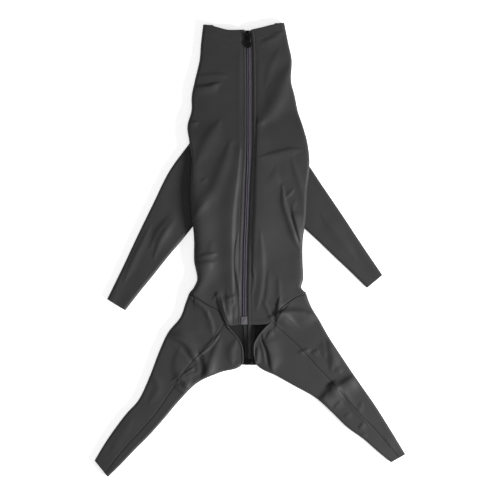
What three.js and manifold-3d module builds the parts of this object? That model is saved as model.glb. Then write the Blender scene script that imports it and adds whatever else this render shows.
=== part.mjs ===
// A dog jumpsuit laid flat on its belly: a hollow suit of stretch cloth with a long zip down the back,
// two front sleeves, two rear legs, an open neck and a tail opening with a short belly zip in it.
// Millimetres. +Y runs to the neck, +X to the suit's right as seen from above, +Z up from the floor.
import * as THREE from "three";
import { mergeVertices } from "three/addons/utils/BufferGeometryUtils.js";
import Module from "manifold-3d";

const wasm = await Module();
wasm.setup();

// Cloth, and the space kept between neighbouring pieces
const WALL = 1.2;
const GAP = 0.4;
const HIP_SEAM = 1.4;

// Body of the suit as it lies
const BACK_LENGTH = 450;
const CHEST_WIDTH = 182;
const LIE_HEIGHT = 19;
const SIDE_HEIGHT = 10;
const SIDE_TUCK = 14;

// Front sleeves
const SLEEVE_OUTSEAM = 264;
const SLEEVE_INSEAM = 169;
const SLEEVE_WIDTH = 78;
const SLEEVE_HEIGHT = 9;
const SLEEVE_CUFF_HEIGHT = 8.4;
const LEFT_SLEEVE_ANGLE = 31.9;
const RIGHT_SLEEVE_ANGLE = 39.8;
const RIGHT_SLEEVE_TUCK = 22;
const RIGHT_SLEEVE_HIDDEN = 71;

// Rear legs
const LEG_LENGTH = 288;
const LEG_WIDTH = 80;
const LEG_HEIGHT = 11;
const LEG_CUFF_HEIGHT = 7.8;
const LEG_LEAN_ANGLE = 34.1;

// Folds in the cloth
const FOLD_RISE = 3.4;
const FOLD_WIDTH = 9;

// Back zip
const ZIP_OPENING = 11;
const TAPE_WIDTH = 8;
const TAPE_THICKNESS = 0.8;
const CHAIN_WIDTH = 5.6;
const CHAIN_THICKNESS = 2.2;
const SLIDER_LENGTH = 12;
const SLIDER_WIDTH = 8.6;
const PLATE_THICKNESS = 1.2;
const BRIDGE_WIDTH = 2.6;
const BRIDGE_EYE = 3.2;
const BRIDGE_WALL = 1.2;
const PULL_LENGTH = 18;
const PULL_WIDTH = 7.4;
const PULL_END_WIDTH = 11.4;
const PULL_THICKNESS = 1.4;
const PULL_EYE_LENGTH = 4.3;
const PULL_HOLE = 3.2;
const PULL_DROOP_ANGLE = 5;
const STOP_LENGTH = 11;
const STOP_WIDTH = 9;
const STOP_THICKNESS = 1;

// Tail opening: the two crotches stand this far apart, below the hem and to the right of the zip's end
const CROTCH_SPREAD = 24.4;
const CROTCH_DROP = 61.7;
const CROTCH_SHIFT = 7.8;
const BINDING_WIDTH = 2.6;

// Belly zip
const BELLY_SLOT = 5;
const BELLY_ZIP_LENGTH = 150;
const BELLY_TAPE_WIDTH = 6;
const BELLY_TAPE_END_WIDTH = 2.3;
const BELLY_SLIDER_LENGTH = 9;
const BELLY_SLIDER_WIDTH = 7;
const BELLY_BOSS_WIDTH = 5;
const BELLY_BOSS_HOLE = 2;

const POST_LENGTH = 2.4;

const LEFT = -1;
const RIGHT = 1;

// Places as shares of the back's length
const ZIP_TOP_AT = 0.022;
const SLIDER_AT = 0.043;
const ARMHOLE_FROM = { left: 0.36, right: 0.33 };
const ARMHOLE_TO = 0.71;
const HIP_AT = 0.9;

// Shares of a leg's length and width, and of the hem
const WEDGE_SHORT = 0.82;
const BINDING_INSET = 0.024;
const SEAM_STEP = 0.02;
const HEM_STEP = 0.04;

// Metal plates: their corner as a share of their lesser side, and how far joined bodies run together
const PLATE_CORNER = 0.28;
const MERGE = 0.1;
const SAME_POINT = 1e-4;

// Widths are shares of half the chest, `at` runs from neck to hem along the back. `side` is the height of
// the folded side, `crown` the height beside the zip, and `left_up` and `right_up` say how far the folded
// side is held up by the sleeve below it.
const BODY = [
  { at: 0.0, left: 0.77, right: 0.56, zip: -0.052, side: 0.55, crown: 0.57, left_up: 0, right_up: 0 },
  { at: 0.07, left: 0.81, right: 0.63, zip: -0.037, side: 0.6, crown: 0.58, left_up: 0, right_up: 0 },
  { at: 0.12, left: 0.83, right: 0.68, zip: -0.033, side: 0.6, crown: 0.62, left_up: 0, right_up: 0 },
  { at: 0.19, left: 0.91, right: 0.67, zip: -0.03, side: 0.65, crown: 0.66, left_up: 0, right_up: 0 },
  { at: 0.24, left: 0.96, right: 0.73, zip: -0.03, side: 0.7, crown: 0.7, left_up: 0, right_up: 0 },
  { at: 0.29, left: 0.965, right: 0.78, zip: -0.03, side: 0.7, crown: 0.76, left_up: 0, right_up: 0 },
  { at: 0.34, left: 1.03, right: 0.86, zip: -0.03, side: 0.65, crown: 0.84, left_up: 0.2, right_up: 0.95 },
  { at: 0.39, left: 1.0, right: 0.93, zip: -0.03, side: 0.5, crown: 0.94, left_up: 1, right_up: 1 },
  { at: 0.45, left: 0.96, right: 0.97, zip: -0.035, side: 0.45, crown: 1, left_up: 1, right_up: 1 },
  { at: 0.5, left: 0.97, right: 0.96, zip: -0.04, side: 0.45, crown: 1, left_up: 1, right_up: 1 },
  { at: 0.55, left: 0.99, right: 0.93, zip: -0.05, side: 0.45, crown: 1, left_up: 1, right_up: 1 },
  { at: 0.64, left: 0.96, right: 0.91, zip: -0.065, side: 0.45, crown: 1, left_up: 1, right_up: 1 },
  { at: 0.69, left: 0.93, right: 0.88, zip: -0.075, side: 0.55, crown: 0.94, left_up: 0.75, right_up: 0.9 },
  { at: 0.73, left: 0.92, right: 0.86, zip: -0.085, side: 0.8, crown: 0.88, left_up: 0, right_up: 0 },
  { at: 0.79, left: 0.92, right: 0.86, zip: -0.09, side: 0.9, crown: 0.84, left_up: 0, right_up: 0 },
  { at: 0.85, left: 0.87, right: 0.87, zip: -0.095, side: 0.9, crown: 0.8, left_up: 0, right_up: 0 },
  { at: 0.88, left: 0.93, right: 0.84, zip: -0.1, side: 0.9, crown: 0.78, left_up: 0, right_up: 0 },
  { at: 0.9, left: 1.0, right: 0.915, zip: -0.1, side: 0.9, crown: 0.76, left_up: 0, right_up: 0 },
  { at: 1.0, left: 1.0, right: 0.915, zip: -0.1, side: 0.9, crown: 0.7, left_up: 0, right_up: 0 },
];

// The neck edge and the hem with the hip seams: how far down the back each lies, from the zip outwards
const NECK = [
  { across: 0, left: 0.02, right: 0.02 },
  { across: 0.4, left: 0.021, right: 0.013 },
  { across: 1, left: 0.003, right: -0.003 },
];
const HEM = [
  { across: 0, left: 1, right: 1 },
  { across: 0.27, left: 1, right: 1 },
  { across: 0.43, left: 0.956, right: 0.99 },
  { across: 0.56, left: 0.943, right: 0.95 },
  { across: 0.7, left: 0.931, right: 0.927 },
  { across: 0.85, left: 0.914, right: 0.909 },
  { across: 1, left: HIP_AT, right: HIP_AT },
];
const TAIL_CORNER = { left: 0.29, right: 0.43 };
const TONGUE_CORNER = 0.07;
const DOME_POWER = 2.4;
const SIDE_FADE_POWER = 8;

// Sleeves from cuff to armhole: shares of each seam's length and of the sleeve's half width
const SLEEVE = [
  { at: 0, outer: 0.4, inner: 0.4, height: 0 },
  { at: 0.2, outer: 0.54, inner: 0.49, height: 0.3 },
  { at: 0.4, outer: 0.7, inner: 0.6, height: 0.6 },
  { at: 0.6, outer: 0.84, inner: 0.7, height: 0.9 },
  { at: 0.8, outer: 0.97, inner: 0.82, height: 1 },
  { at: 1, outer: 0.88, inner: 0.93, height: 1 },
];
const RIGHT_SLEEVE_SLIM = 0.95;
const ARMHOLE_TOP = { left: 0.397, right: 0.482 };

// Legs from cuff to hip: how far up the leg each side of a section lies, how far out from the leg's axis,
// and where the top seam crosses it. Above the crotch the inner side is the rim of the opening.
const LEFT_LEG = [
  { at: 0, outer_up: 0.017, outer: 0.18, inner_up: -0.015, inner: 0.19, seam: 0.78, height: 0 },
  { at: 0.1, outer_up: 0.11, outer: 0.2, inner_up: 0.08, inner: 0.26, seam: 0.71, height: 0.35 },
  { at: 0.2, outer_up: 0.21, outer: 0.2, inner_up: 0.18, inner: 0.32, seam: 0.7, height: 0.5 },
  { at: 0.3, outer_up: 0.31, outer: 0.18, inner_up: 0.28, inner: 0.39, seam: 0.7, height: 0.55 },
  { at: 0.4, outer_up: 0.41, outer: 0.135, inner_up: 0.39, inner: 0.445, seam: 0.69, height: 0.55 },
  { at: 0.5, outer_up: 0.54, outer: 0.21, inner_up: 0.52, inner: 0.495, seam: 0.68, height: 0.65 },
  { at: 0.6, outer_up: 0.67, outer: 0.32, inner_up: 0.65, inner: 0.59, seam: 0.64, height: 0.85 },
  { at: 0.7, outer_up: 0.78, outer: 0.385, inner_up: 0.76, inner: 0.83, seam: 0.57, height: 0.95 },
  { at: 0.8, outer_up: 0.87, outer: 0.355, inner_up: 0.855, inner: 1.09, seam: 0.53, height: 1 },
  { at: 0.85, outer_up: 0.91, outer: 0.37, inner_up: 0.93, inner: 0.93, seam: 0.6, height: 1 },
  { at: 0.9, outer_up: 0.95, outer: 0.41, inner_up: 0.962, inner: 0.75, seam: 0.73, height: 1 },
  { at: 0.95, outer_up: 0.985, outer: 0.44, inner_up: 0.976, inner: 0.57, seam: 0.88, height: 1 },
  { at: 1, outer_up: 1.012, outer: 0.462, inner_up: 0.99, inner: 0.45, seam: 0.99, height: 1 },
];
const RIGHT_LEG = [
  { at: 0, outer_up: -0.002, outer: 0.16, inner_up: 0.005, inner: 0.14, seam: 0.45, height: 0 },
  { at: 0.1, outer_up: 0.1, outer: 0.18, inner_up: 0.09, inner: 0.23, seam: 0.45, height: 0.35 },
  { at: 0.2, outer_up: 0.2, outer: 0.195, inner_up: 0.185, inner: 0.32, seam: 0.46, height: 0.5 },
  { at: 0.3, outer_up: 0.3, outer: 0.205, inner_up: 0.285, inner: 0.45, seam: 0.48, height: 0.55 },
  { at: 0.4, outer_up: 0.4, outer: 0.2, inner_up: 0.395, inner: 0.53, seam: 0.5, height: 0.6 },
  { at: 0.5, outer_up: 0.505, outer: 0.195, inner_up: 0.505, inner: 0.63, seam: 0.48, height: 0.75 },
  { at: 0.6, outer_up: 0.62, outer: 0.198, inner_up: 0.61, inner: 0.82, seam: 0.46, height: 0.85 },
  { at: 0.7, outer_up: 0.73, outer: 0.205, inner_up: 0.71, inner: 1.0, seam: 0.44, height: 0.95 },
  { at: 0.8, outer_up: 0.83, outer: 0.235, inner_up: 0.815, inner: 1.19, seam: 0.44, height: 1 },
  { at: 0.85, outer_up: 0.875, outer: 0.24, inner_up: 0.9, inner: 1.07, seam: 0.54, height: 1 },
  { at: 0.9, outer_up: 0.915, outer: 0.25, inner_up: 0.935, inner: 0.89, seam: 0.7, height: 1 },
  { at: 0.95, outer_up: 0.95, outer: 0.275, inner_up: 0.952, inner: 0.69, seam: 0.87, height: 1 },
  { at: 1, outer_up: 0.98, outer: 0.304, inner_up: 0.957, inner: 0.51, seam: 0.99, height: 1 },
];
const CROTCH_AT = 0.8;
const LEG_SIDE_BAND = 0.33;
const LEG_CUFF_BAND = 0.125;

// Folds: a path over the cloth, how high it stands (below zero: a crease) and how wide it is.
// On the body a path point is [share from zip to side, share down the back].
const BACK_FOLDS = {
  left: [
    { path: [[0.98, 0.2], [0.8, 0.195], [0.52, 0.185]], rise: -0.55, width: 0.55 },
    { path: [[0.8, 0.215], [0.55, 0.21]], rise: 0.35, width: 0.7 },
    { path: [[0.95, 0.315], [0.84, 0.32]], rise: -0.5, width: 0.6 },
    { path: [[0.2, 0.27], [0.34, 0.42], [0.48, 0.5]], rise: -0.35, width: 1.6 },
    { path: [[0.28, 0.42], [0.4, 0.5], [0.6, 0.58], [0.8, 0.6]], rise: 0.5, width: 1 },
    { path: [[0.28, 0.53], [0.34, 0.64], [0.42, 0.75], [0.38, 0.88]], rise: -0.8, width: 1.1 },
    { path: [[0.14, 0.5], [0.18, 0.62], [0.2, 0.72], [0.19, 0.86], [0.24, 0.97]], rise: 0.75, width: 0.75 },
    { path: [[0.5, 0.76], [0.6, 0.8], [0.8, 0.88]], rise: 0.6, width: 0.9 },
    { path: [[0.97, 0.79], [0.75, 0.78], [0.58, 0.785]], rise: -0.5, width: 0.6 },
    { path: [[0.55, 0.91], [0.44, 0.9], [0.38, 0.95], [0.3, 0.99]], rise: -0.95, width: 0.8 },
    { path: [[0.22, 0.9], [0.22, 0.99]], rise: 0.5, width: 0.5 },
  ],
  right: [
    { path: [[0.9, 0.13], [0.65, 0.2], [0.5, 0.26]], rise: -0.7, width: 1.5 },
    { path: [[0.85, 0.2], [0.62, 0.27], [0.35, 0.34]], rise: 0.55, width: 1.1 },
    { path: [[0.35, 0.06], [0.75, 0.045]], rise: -0.3, width: 0.6 },
    { path: [[0.25, 0.42], [0.6, 0.41], [0.85, 0.405]], rise: -0.45, width: 0.8 },
    { path: [[0.6, 0.52], [0.6, 0.58], [0.7, 0.65], [0.9, 0.75]], rise: 0.75, width: 0.75 },
    { path: [[0.86, 0.63], [0.95, 0.74]], rise: -0.8, width: 0.65 },
    { path: [[0.54, 0.58], [0.6, 0.66]], rise: -0.5, width: 0.6 },
    { path: [[0.28, 0.7], [0.24, 0.85], [0.18, 0.94]], rise: 0.5, width: 0.9 },
    { path: [[0.34, 0.83], [0.28, 0.92]], rise: -0.5, width: 0.6 },
    { path: [[0.52, 0.91], [0.5, 0.98]], rise: -0.8, width: 0.5 },
    { path: [[0.56, 0.84], [0.58, 0.93]], rise: 0.5, width: 0.8 },
  ],
};
// On a leg a path point is [share up the leg, share out from its axis, inner side below zero].
const LEG_FOLDS = {
  left: [
    { path: [[0.95, 0.35], [0.97, 0.1], [0.94, -0.1]], rise: 0.6, width: 1.1 },
    { path: [[0.78, 0.36], [0.78, 0.15], [0.77, -0.05], [0.69, -0.2]], rise: -0.75, width: 0.8 },
    { path: [[0.96, -0.35], [0.87, -0.35], [0.76, -0.3]], rise: 0.7, width: 0.8 },
    { path: [[0.97, -0.48], [0.86, -0.6], [0.74, -0.55]], rise: 0.6, width: 0.7 },
    { path: [[0.8, -0.4], [0.74, -0.5], [0.69, -0.58]], rise: -0.95, width: 0.7 },
    { path: [[0.59, -0.1], [0.6, -0.3], [0.57, -0.4]], rise: -0.6, width: 0.7 },
    { path: [[0.66, 0.05], [0.64, -0.2], [0.66, -0.4]], rise: 0.55, width: 0.8 },
  ],
  right: [
    { path: [[0.95, -0.5], [0.99, -0.2], [0.96, 0.1]], rise: 0.5, width: 1 },
    { path: [[0.83, 0.2], [0.78, 0.1], [0.7, 0.02]], rise: -0.5, width: 1 },
    { path: [[0.54, 0.17], [0.57, 0], [0.57, -0.2], [0.53, -0.4], [0.5, -0.56]], rise: -0.95, width: 0.9 },
    { path: [[0.62, 0.1], [0.65, -0.2], [0.62, -0.5]], rise: 0.5, width: 1 },
    { path: [[0.48, 0.1], [0.46, -0.2], [0.44, -0.42]], rise: 0.45, width: 0.9 },
    { path: [[0.95, -0.86], [0.88, -0.9], [0.83, -1.05]], rise: -0.8, width: 0.7 },
    { path: [[0.33, 0.1], [0.34, -0.2], [0.31, -0.32]], rise: -0.35, width: 0.7 },
  ],
};

// Colours of the cloth, tapes and metal
const CLOTH = { color: 0x3e3e3f, roughness: 0.7, metalness: 0 };
const TAPE = { color: 0x46434c, roughness: 0.75, metalness: 0 };
const CHAIN = { color: 0x4c4853, roughness: 0.5, metalness: 0 };
const BLACK_METAL = { color: 0x0e0e10, roughness: 0.35, metalness: 0.8 };
const GREY_STOP = { color: 0x77747e, roughness: 0.6, metalness: 0 };
const BLACK_TAPE = { color: 0x111113, roughness: 0.8, metalness: 0 };

const group = new THREE.Group();

function addPiece(name, geometry, finish) {
  const mesh = new THREE.Mesh(geometry, new THREE.MeshStandardMaterial(finish));
  mesh.name = name;
  group.add(mesh);
}

const mix = (a, b, t) => a + (b - a) * t;
const clamp = (value) => Math.min(1, Math.max(0, value));
const smooth = (value) => clamp(value) ** 2 * (3 - 2 * clamp(value));
const sideName = (side) => (side === LEFT ? "left" : "right");

// A smooth curve through one column of a table, read at any place along its key column
function read(table, key, column, where) {
  const last = table.length - 1;
  let i = 0;
  while (i < last - 1 && where > table[i + 1][key]) i += 1;
  const [a, b] = [table[i], table[i + 1]];
  const before = table[Math.max(0, i - 1)];
  const after = table[Math.min(last, i + 2)];
  const span = b[key] - a[key];
  const t = clamp((where - a[key]) / span);
  const slopeA = ((b[column] - before[column]) / (b[key] - before[key])) * span;
  const slopeB = ((after[column] - a[column]) / (after[key] - a[key])) * span;
  const cube = 2 * t ** 3 - 3 * t ** 2;
  return (cube + 1) * a[column] - cube * b[column]
    + (t ** 3 - 2 * t ** 2 + t) * slopeA + (t ** 3 - t ** 2) * slopeB;
}

// Body: places seen from above

const zipX = (at) => (read(BODY, "at", "zip", at) * CHEST_WIDTH) / 2;
const edgeX = (side, at) => (side * read(BODY, "at", sideName(side), at) * CHEST_WIDTH) / 2;
const clothX = (side, at) => zipX(at) + (side * ZIP_OPENING) / 2;
const crownZ = (at) => read(BODY, "at", "crown", at) * LIE_HEIGHT;
const sideHeld = (side, at) => clamp(read(BODY, "at", `${sideName(side)}_up`, at));
const sideUp = (side, at) => sideHeld(side, at) * (SLEEVE_HEIGHT + WALL / 2 + GAP);

function bodyPlan(side, across, at) {
  return new THREE.Vector2(mix(clothX(side, at), edgeX(side, at), across), -at * BACK_LENGTH);
}

function bodyAcross(side, point) {
  const at = -point.y / BACK_LENGTH;
  const inner = clothX(side, at);
  return clamp((point.x - inner) / (edgeX(side, at) - inner));
}

const hemPlan = (side, across) => bodyPlan(side, across, read(HEM, "across", sideName(side), across));

// A point beyond the hem, the given distance square to it
function hemPoint(side, across, distance) {
  const run = hemPlan(side, across + HEM_STEP).sub(hemPlan(side, across - HEM_STEP)).normalize();
  const away = new THREE.Vector2(side * run.y, -side * run.x);
  return hemPlan(side, across).addScaledVector(away, distance);
}

// Legs and sleeves: places seen from above

const lean = (side, degrees) => {
  const turn = THREE.MathUtils.degToRad(degrees);
  return {
    up: new THREE.Vector2(-side * Math.sin(turn), Math.cos(turn)),
    out: new THREE.Vector2(side * Math.cos(turn), Math.sin(turn)),
  };
};

const LEG_TABLE = { left: LEFT_LEG, right: RIGHT_LEG };

function makeLeg(side) {
  const table = LEG_TABLE[sideName(side)];
  const axes = lean(side, LEG_LEAN_ANGLE);
  const hip = table[table.length - 1];
  const cuff = bodyPlan(side, 1, HIP_AT)
    .addScaledVector(axes.up, -hip.outer_up * LEG_LENGTH)
    .addScaledVector(axes.out, -hip.outer * LEG_WIDTH);
  const plan = (up, out) => cuff.clone()
    .addScaledVector(axes.up, up * LEG_LENGTH)
    .addScaledVector(axes.out, out * LEG_WIDTH);
  const outer = (at) => plan(read(table, "at", "outer_up", at), read(table, "at", "outer", at));
  const drawn = (at) => plan(read(table, "at", "inner_up", at), -read(table, "at", "inner", at));
  const crotch = new THREE.Vector2(
    zipX(1) + CROTCH_SHIFT + (side * CROTCH_SPREAD) / 2,
    -BACK_LENGTH - CROTCH_DROP,
  );
  const shift = crotch.clone().sub(drawn(CROTCH_AT));
  const inner = (at) => {
    const near = at < CROTCH_AT ? at / CROTCH_AT : (1 - at) / (1 - CROTCH_AT);
    return drawn(at).addScaledVector(shift, smooth(near));
  };
  return { side, table, plan, outer, inner, crotch };
}

const LEGS = { left: makeLeg(LEFT), right: makeLeg(RIGHT) };

// Above the crotch the leg is drawn towards the hem, so that its edge lies along the hip seam
function legPlan(leg, across, at) {
  const corner = TAIL_CORNER[sideName(leg.side)];
  const point = leg.outer(at).lerp(leg.inner(at), across);
  const pull = smooth((at - CROTCH_AT) / (1 - CROTCH_AT));
  if (pull === 0) return point;
  const seam = hemPoint(leg.side, mix(1, corner, across), HIP_SEAM);
  const own = leg.outer(1).lerp(leg.inner(1), across);
  return point.addScaledVector(seam.sub(own), pull);
}

// Folds: each adds its height to the cloth round its path

function foldPaths() {
  const paths = [];
  for (const side of [LEFT, RIGHT]) {
    const leg = LEGS[sideName(side)];
    for (const fold of BACK_FOLDS[sideName(side)]) {
      paths.push({ ...fold, points: fold.path.map(([across, at]) => bodyPlan(side, across, at)) });
    }
    for (const fold of LEG_FOLDS[sideName(side)]) {
      paths.push({ ...fold, points: fold.path.map(([up, out]) => leg.plan(up, out)) });
    }
  }
  return paths;
}

const FOLDS = foldPaths();

function distanceToPath(point, points) {
  let nearest = Infinity;
  for (let i = 1; i < points.length; i += 1) {
    const run = points[i].clone().sub(points[i - 1]);
    const t = clamp(point.clone().sub(points[i - 1]).dot(run) / run.lengthSq());
    nearest = Math.min(nearest, points[i - 1].clone().addScaledVector(run, t).distanceTo(point));
  }
  return nearest;
}

function relief(point) {
  let height = 0;
  for (const fold of FOLDS) {
    const reach = distanceToPath(point, fold.points) / (fold.width * FOLD_WIDTH);
    height += fold.rise * FOLD_RISE * Math.exp(-reach * reach);
  }
  return height;
}

// Height of the upper layer of the body over a point: a low dome from the side to the zip, with its folds
// fading out beside the zip, where the tape below has to lie flat, and towards the folded side

function bodyTop(side, point) {
  const at = -point.y / BACK_LENGTH;
  const across = bodyAcross(side, point);
  const edge = WALL / 2 + sideUp(side, at) + read(BODY, "at", "side", at) * SIDE_HEIGHT;
  const fromZip = Math.abs(point.x - clothX(side, at));
  const fade = smooth((fromZip - TAPE_WIDTH + WALL) / TAPE_WIDTH) * (1 - across ** SIDE_FADE_POWER);
  return mix(edge, crownZ(at), 1 - across ** DOME_POWER) + relief(point) * fade;
}

// Sheets of cloth: a grid of points on the middle of the cloth becomes a closed wall

function wallOf(rows, thickness, { round = false, keep = () => true } = {}) {
  const across = rows[0].length;
  const cells = round ? across : across - 1;
  const flat = rows.flat();
  const index = (r, c) => r * across + (c % across);
  const normals = flat.map(() => new THREE.Vector3());
  const kept = [];
  for (let r = 0; r < rows.length - 1; r += 1) {
    for (let c = 0; c < cells; c += 1) {
      if (!keep(r, c)) continue;
      const corners = [index(r, c), index(r, c + 1), index(r + 1, c + 1), index(r + 1, c)];
      const normal = flat[corners[2]].clone().sub(flat[corners[0]])
        .cross(flat[corners[3]].clone().sub(flat[corners[1]]));
      corners.forEach((corner) => normals[corner].add(normal));
      kept.push(corners);
    }
  }
  const positions = [];
  for (const turn of [0.5, -0.5]) {
    flat.forEach((point, i) => {
      const shift = normals[i].clone().normalize().multiplyScalar(turn * thickness);
      positions.push(...point.clone().add(shift).toArray());
    });
  }
  const size = flat.length;
  const faces = [];
  const edges = new Map();
  for (const [a, b, c, d] of kept) {
    faces.push(a, b, c, a, c, d, a + size, c + size, b + size, a + size, d + size, c + size);
    for (const [from, to] of [[a, b], [b, c], [c, d], [d, a]]) {
      if (!edges.delete(`${to} ${from}`)) edges.set(`${from} ${to}`, [from, to]);
    }
  }
  for (const [from, to] of edges.values()) {
    faces.push(from, from + size, to, to, from + size, to + size);
  }
  return closedGeometry(positions, faces);
}

// Drops unused points and turns the faces outwards
function closedGeometry(positions, faces) {
  const used = [...new Set(faces)];
  const place = new Map(used.map((old, now) => [old, now]));
  const kept = used.flatMap((old) => positions.slice(old * 3, old * 3 + 3));
  const index = faces.map((old) => place.get(old));
  const corner = (i) => new THREE.Vector3().fromArray(kept, index[i] * 3);
  let volume = 0;
  for (let i = 0; i < index.length; i += 3) volume += corner(i).dot(corner(i + 1).cross(corner(i + 2)));
  if (volume < 0) index.reverse();
  const geometry = new THREE.BufferGeometry();
  geometry.setAttribute("position", new THREE.Float32BufferAttribute(kept, 3));
  geometry.setIndex(index);
  geometry.computeVertexNormals();
  return geometry;
}

const steps = (count) => Array.from({ length: count + 1 }, (_, i) => i / count);

// Half a round fold from the upper layer down to the lower one, bulging by `bulge` towards `out`
const FOLD_ARC = [45, 90, 135].map(THREE.MathUtils.degToRad);

function arcPoints(start, out, bulge, top, bottom) {
  return FOLD_ARC.map((angle) => new THREE.Vector3(
    start.x + out.x * bulge * Math.sin(angle),
    start.y + out.y * bulge * Math.sin(angle),
    mix(bottom, top, (1 + Math.cos(angle)) / 2),
  ));
}

// Back panels: from the zip over the side and under it to the side seam

const BACK_ROWS = 34;
const BACK_COLUMNS = 9;

function sideTuck(side, at) {
  return SIDE_TUCK + (side === RIGHT ? sideHeld(side, at) * RIGHT_SLEEVE_TUCK : 0);
}

function backRow(side, row) {
  const points = [];
  const bulge = SIDE_HEIGHT / 3;
  const place = (across) => {
    const top = read(NECK, "across", sideName(side), across);
    const end = read(HEM, "across", sideName(side), across);
    const at = mix(top, end, row);
    const point = bodyPlan(side, across, at);
    return point.setX(point.x - side * bulge * across);
  };
  for (const across of steps(BACK_COLUMNS)) {
    const point = place(across);
    points.push(new THREE.Vector3(point.x, point.y, bodyTop(side, point)));
  }
  const edge = place(1);
  const at = -edge.y / BACK_LENGTH;
  const under = WALL / 2 + sideUp(side, at);
  const top = points[points.length - 1].z;
  points.push(...arcPoints(edge, new THREE.Vector2(side, 0), bulge, top, under));
  for (const tuck of [0, sideTuck(side, at) - bulge]) {
    points.push(new THREE.Vector3(edge.x - side * tuck, edge.y, under));
  }
  return points;
}

function addBack(side) {
  const rows = steps(BACK_ROWS).map((row) => backRow(side, row));
  addPiece(`back_${sideName(side)}`, wallOf(rows, WALL), CLOTH);
}

// Sleeves: flattened tapering tubes from the cuff to the armhole under the body's side

const SLEEVE_ROWS = 12;

function makeSleeve(side) {
  const left = side === LEFT;
  const axes = lean(side, left ? LEFT_SLEEVE_ANGLE : RIGHT_SLEEVE_ANGLE);
  const slim = left ? 1 : RIGHT_SLEEVE_SLIM;
  const half = (slim * SLEEVE_WIDTH) / 2;
  const armhole = SLEEVE[SLEEVE.length - 1];
  const top = bodyPlan(side, 1, ARMHOLE_TOP[sideName(side)]);
  const hidden = left ? 0 : RIGHT_SLEEVE_HIDDEN;
  const cuff = top.clone()
    .addScaledVector(axes.up, hidden - SLEEVE_OUTSEAM)
    .addScaledVector(axes.out, -armhole.outer * half);
  const plan = (up, out) => cuff.clone().addScaledVector(axes.up, up).addScaledVector(axes.out, out);
  return {
    side,
    outer: (at) => plan(at * SLEEVE_OUTSEAM, read(SLEEVE, "at", "outer", at) * half),
    inner: (at) => plan(at * SLEEVE_INSEAM, -read(SLEEVE, "at", "inner", at) * half),
    height: (at) => mix(SLEEVE_CUFF_HEIGHT, SLEEVE_HEIGHT, read(SLEEVE, "at", "height", at)) - WALL,
  };
}

const SLEEVES = { left: makeSleeve(LEFT), right: makeSleeve(RIGHT) };

// One flattened ring: over the top from the outer fold to the inner one, and back along the floor
function ringPoints(outer, inner, height, columns) {
  const run = inner.clone().sub(outer);
  const out = run.clone().normalize();
  const bulge = height / 2;
  const start = outer.clone().addScaledVector(out, bulge);
  const end = inner.clone().addScaledVector(out, -bulge);
  const low = WALL / 2;
  const high = low + height;
  const layer = (z) => steps(columns).map((t) => {
    const point = start.clone().lerp(end, t);
    return new THREE.Vector3(point.x, point.y, z);
  });
  return [
    ...layer(high),
    ...arcPoints(end, out, bulge, high, low),
    ...layer(low).reverse(),
    ...arcPoints(start, out.clone().negate(), bulge, low, high),
  ];
}

function addSleeve(side) {
  const sleeve = SLEEVES[sideName(side)];
  const rows = steps(SLEEVE_ROWS).map((at) =>
    ringPoints(sleeve.outer(at), sleeve.inner(at), sleeve.height(at), 3));
  addPiece(`sleeve_${sideName(side)}`, wallOf(rows, WALL, { round: true }), CLOTH);
}

// Legs: an outer and an inner panel, joined by the seam on top and one underneath

const LEG_ROWS = 20;
const LEG_COLUMNS = 4;
const UNDER_SEAM = 0.55;
const CROTCH_ROW = Math.round(CROTCH_AT * LEG_ROWS);

function legHeight(leg, at) {
  return mix(LEG_CUFF_HEIGHT, LEG_HEIGHT, read(leg.table, "at", "height", at)) - WALL;
}

function legTop(leg, point, across, at) {
  const high = WALL / 2 + legHeight(leg, at);
  const inside = (share) => 1 - (1 - clamp(share / LEG_SIDE_BAND)) ** SIDE_FADE_POWER;
  const nearInner = at < CROTCH_AT ? inside(1 - across) : 1;
  const own = high + relief(point) * inside(across) * nearInner * smooth(at / LEG_CUFF_BAND);
  const body = bodyTop(leg.side, point);
  return mix(own, body, smooth((at - CROTCH_AT) / (1 - CROTCH_AT)));
}

// How wide the rounded folds bulge at the outer and inner side of a leg
const legBulge = (leg, at) => legHeight(leg, at) / 3;

function legTopPoint(leg, across, at) {
  const point = legPlan(leg, across, at);
  return new THREE.Vector3(point.x, point.y, legTop(leg, point, across, at));
}

// The two panels' edges stand this share of the leg's width to either side of a seam between them, and
// twice as far where the seam runs into the hip at a slant
function besideSeam(leg, seam, at) {
  const across = legPlan(leg, seam - SEAM_STEP, at).distanceTo(legPlan(leg, seam + SEAM_STEP, at));
  const slant = 1 + smooth((at - CROTCH_AT) / (1 - CROTCH_AT));
  return (slant * GAP * 2 * SEAM_STEP) / across;
}

function addLegOuter(leg) {
  const rows = steps(LEG_ROWS).map((at) => {
    const seam = read(leg.table, "at", "seam", at);
    const width = legPlan(leg, 0, at).distanceTo(legPlan(leg, 1, at));
    const bulge = legBulge(leg, at);
    const first = bulge / width;
    const beside = besideSeam(leg, seam, at);
    const underSeam = UNDER_SEAM - besideSeam(leg, UNDER_SEAM, at);
    const top = steps(LEG_COLUMNS).map((t) => legTopPoint(leg, mix(seam - beside, first, t), at));
    const edge = legPlan(leg, first, at);
    const out = legPlan(leg, 0, at).sub(edge).normalize();
    const low = steps(2).map((t) => {
      const point = legPlan(leg, mix(first, underSeam, t), at);
      return new THREE.Vector3(point.x, point.y, WALL / 2);
    });
    return [...top, ...arcPoints(edge, out, bulge, top[LEG_COLUMNS].z, WALL / 2), ...low];
  });
  addPiece(`leg_${sideName(leg.side)}_outer`, wallOf(rows, WALL), CLOTH);
}

// Where the lower layer of the inner panel meets the belly panel's tongue, from the crotch to the hem
function tonguePoint(leg, at) {
  const t = clamp((at - CROTCH_AT) / (1 - CROTCH_AT));
  const corner = TAIL_CORNER[sideName(leg.side)] + TONGUE_CORNER;
  return leg.crotch.clone().lerp(hemPoint(leg.side, corner, HIP_SEAM), t);
}

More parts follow.
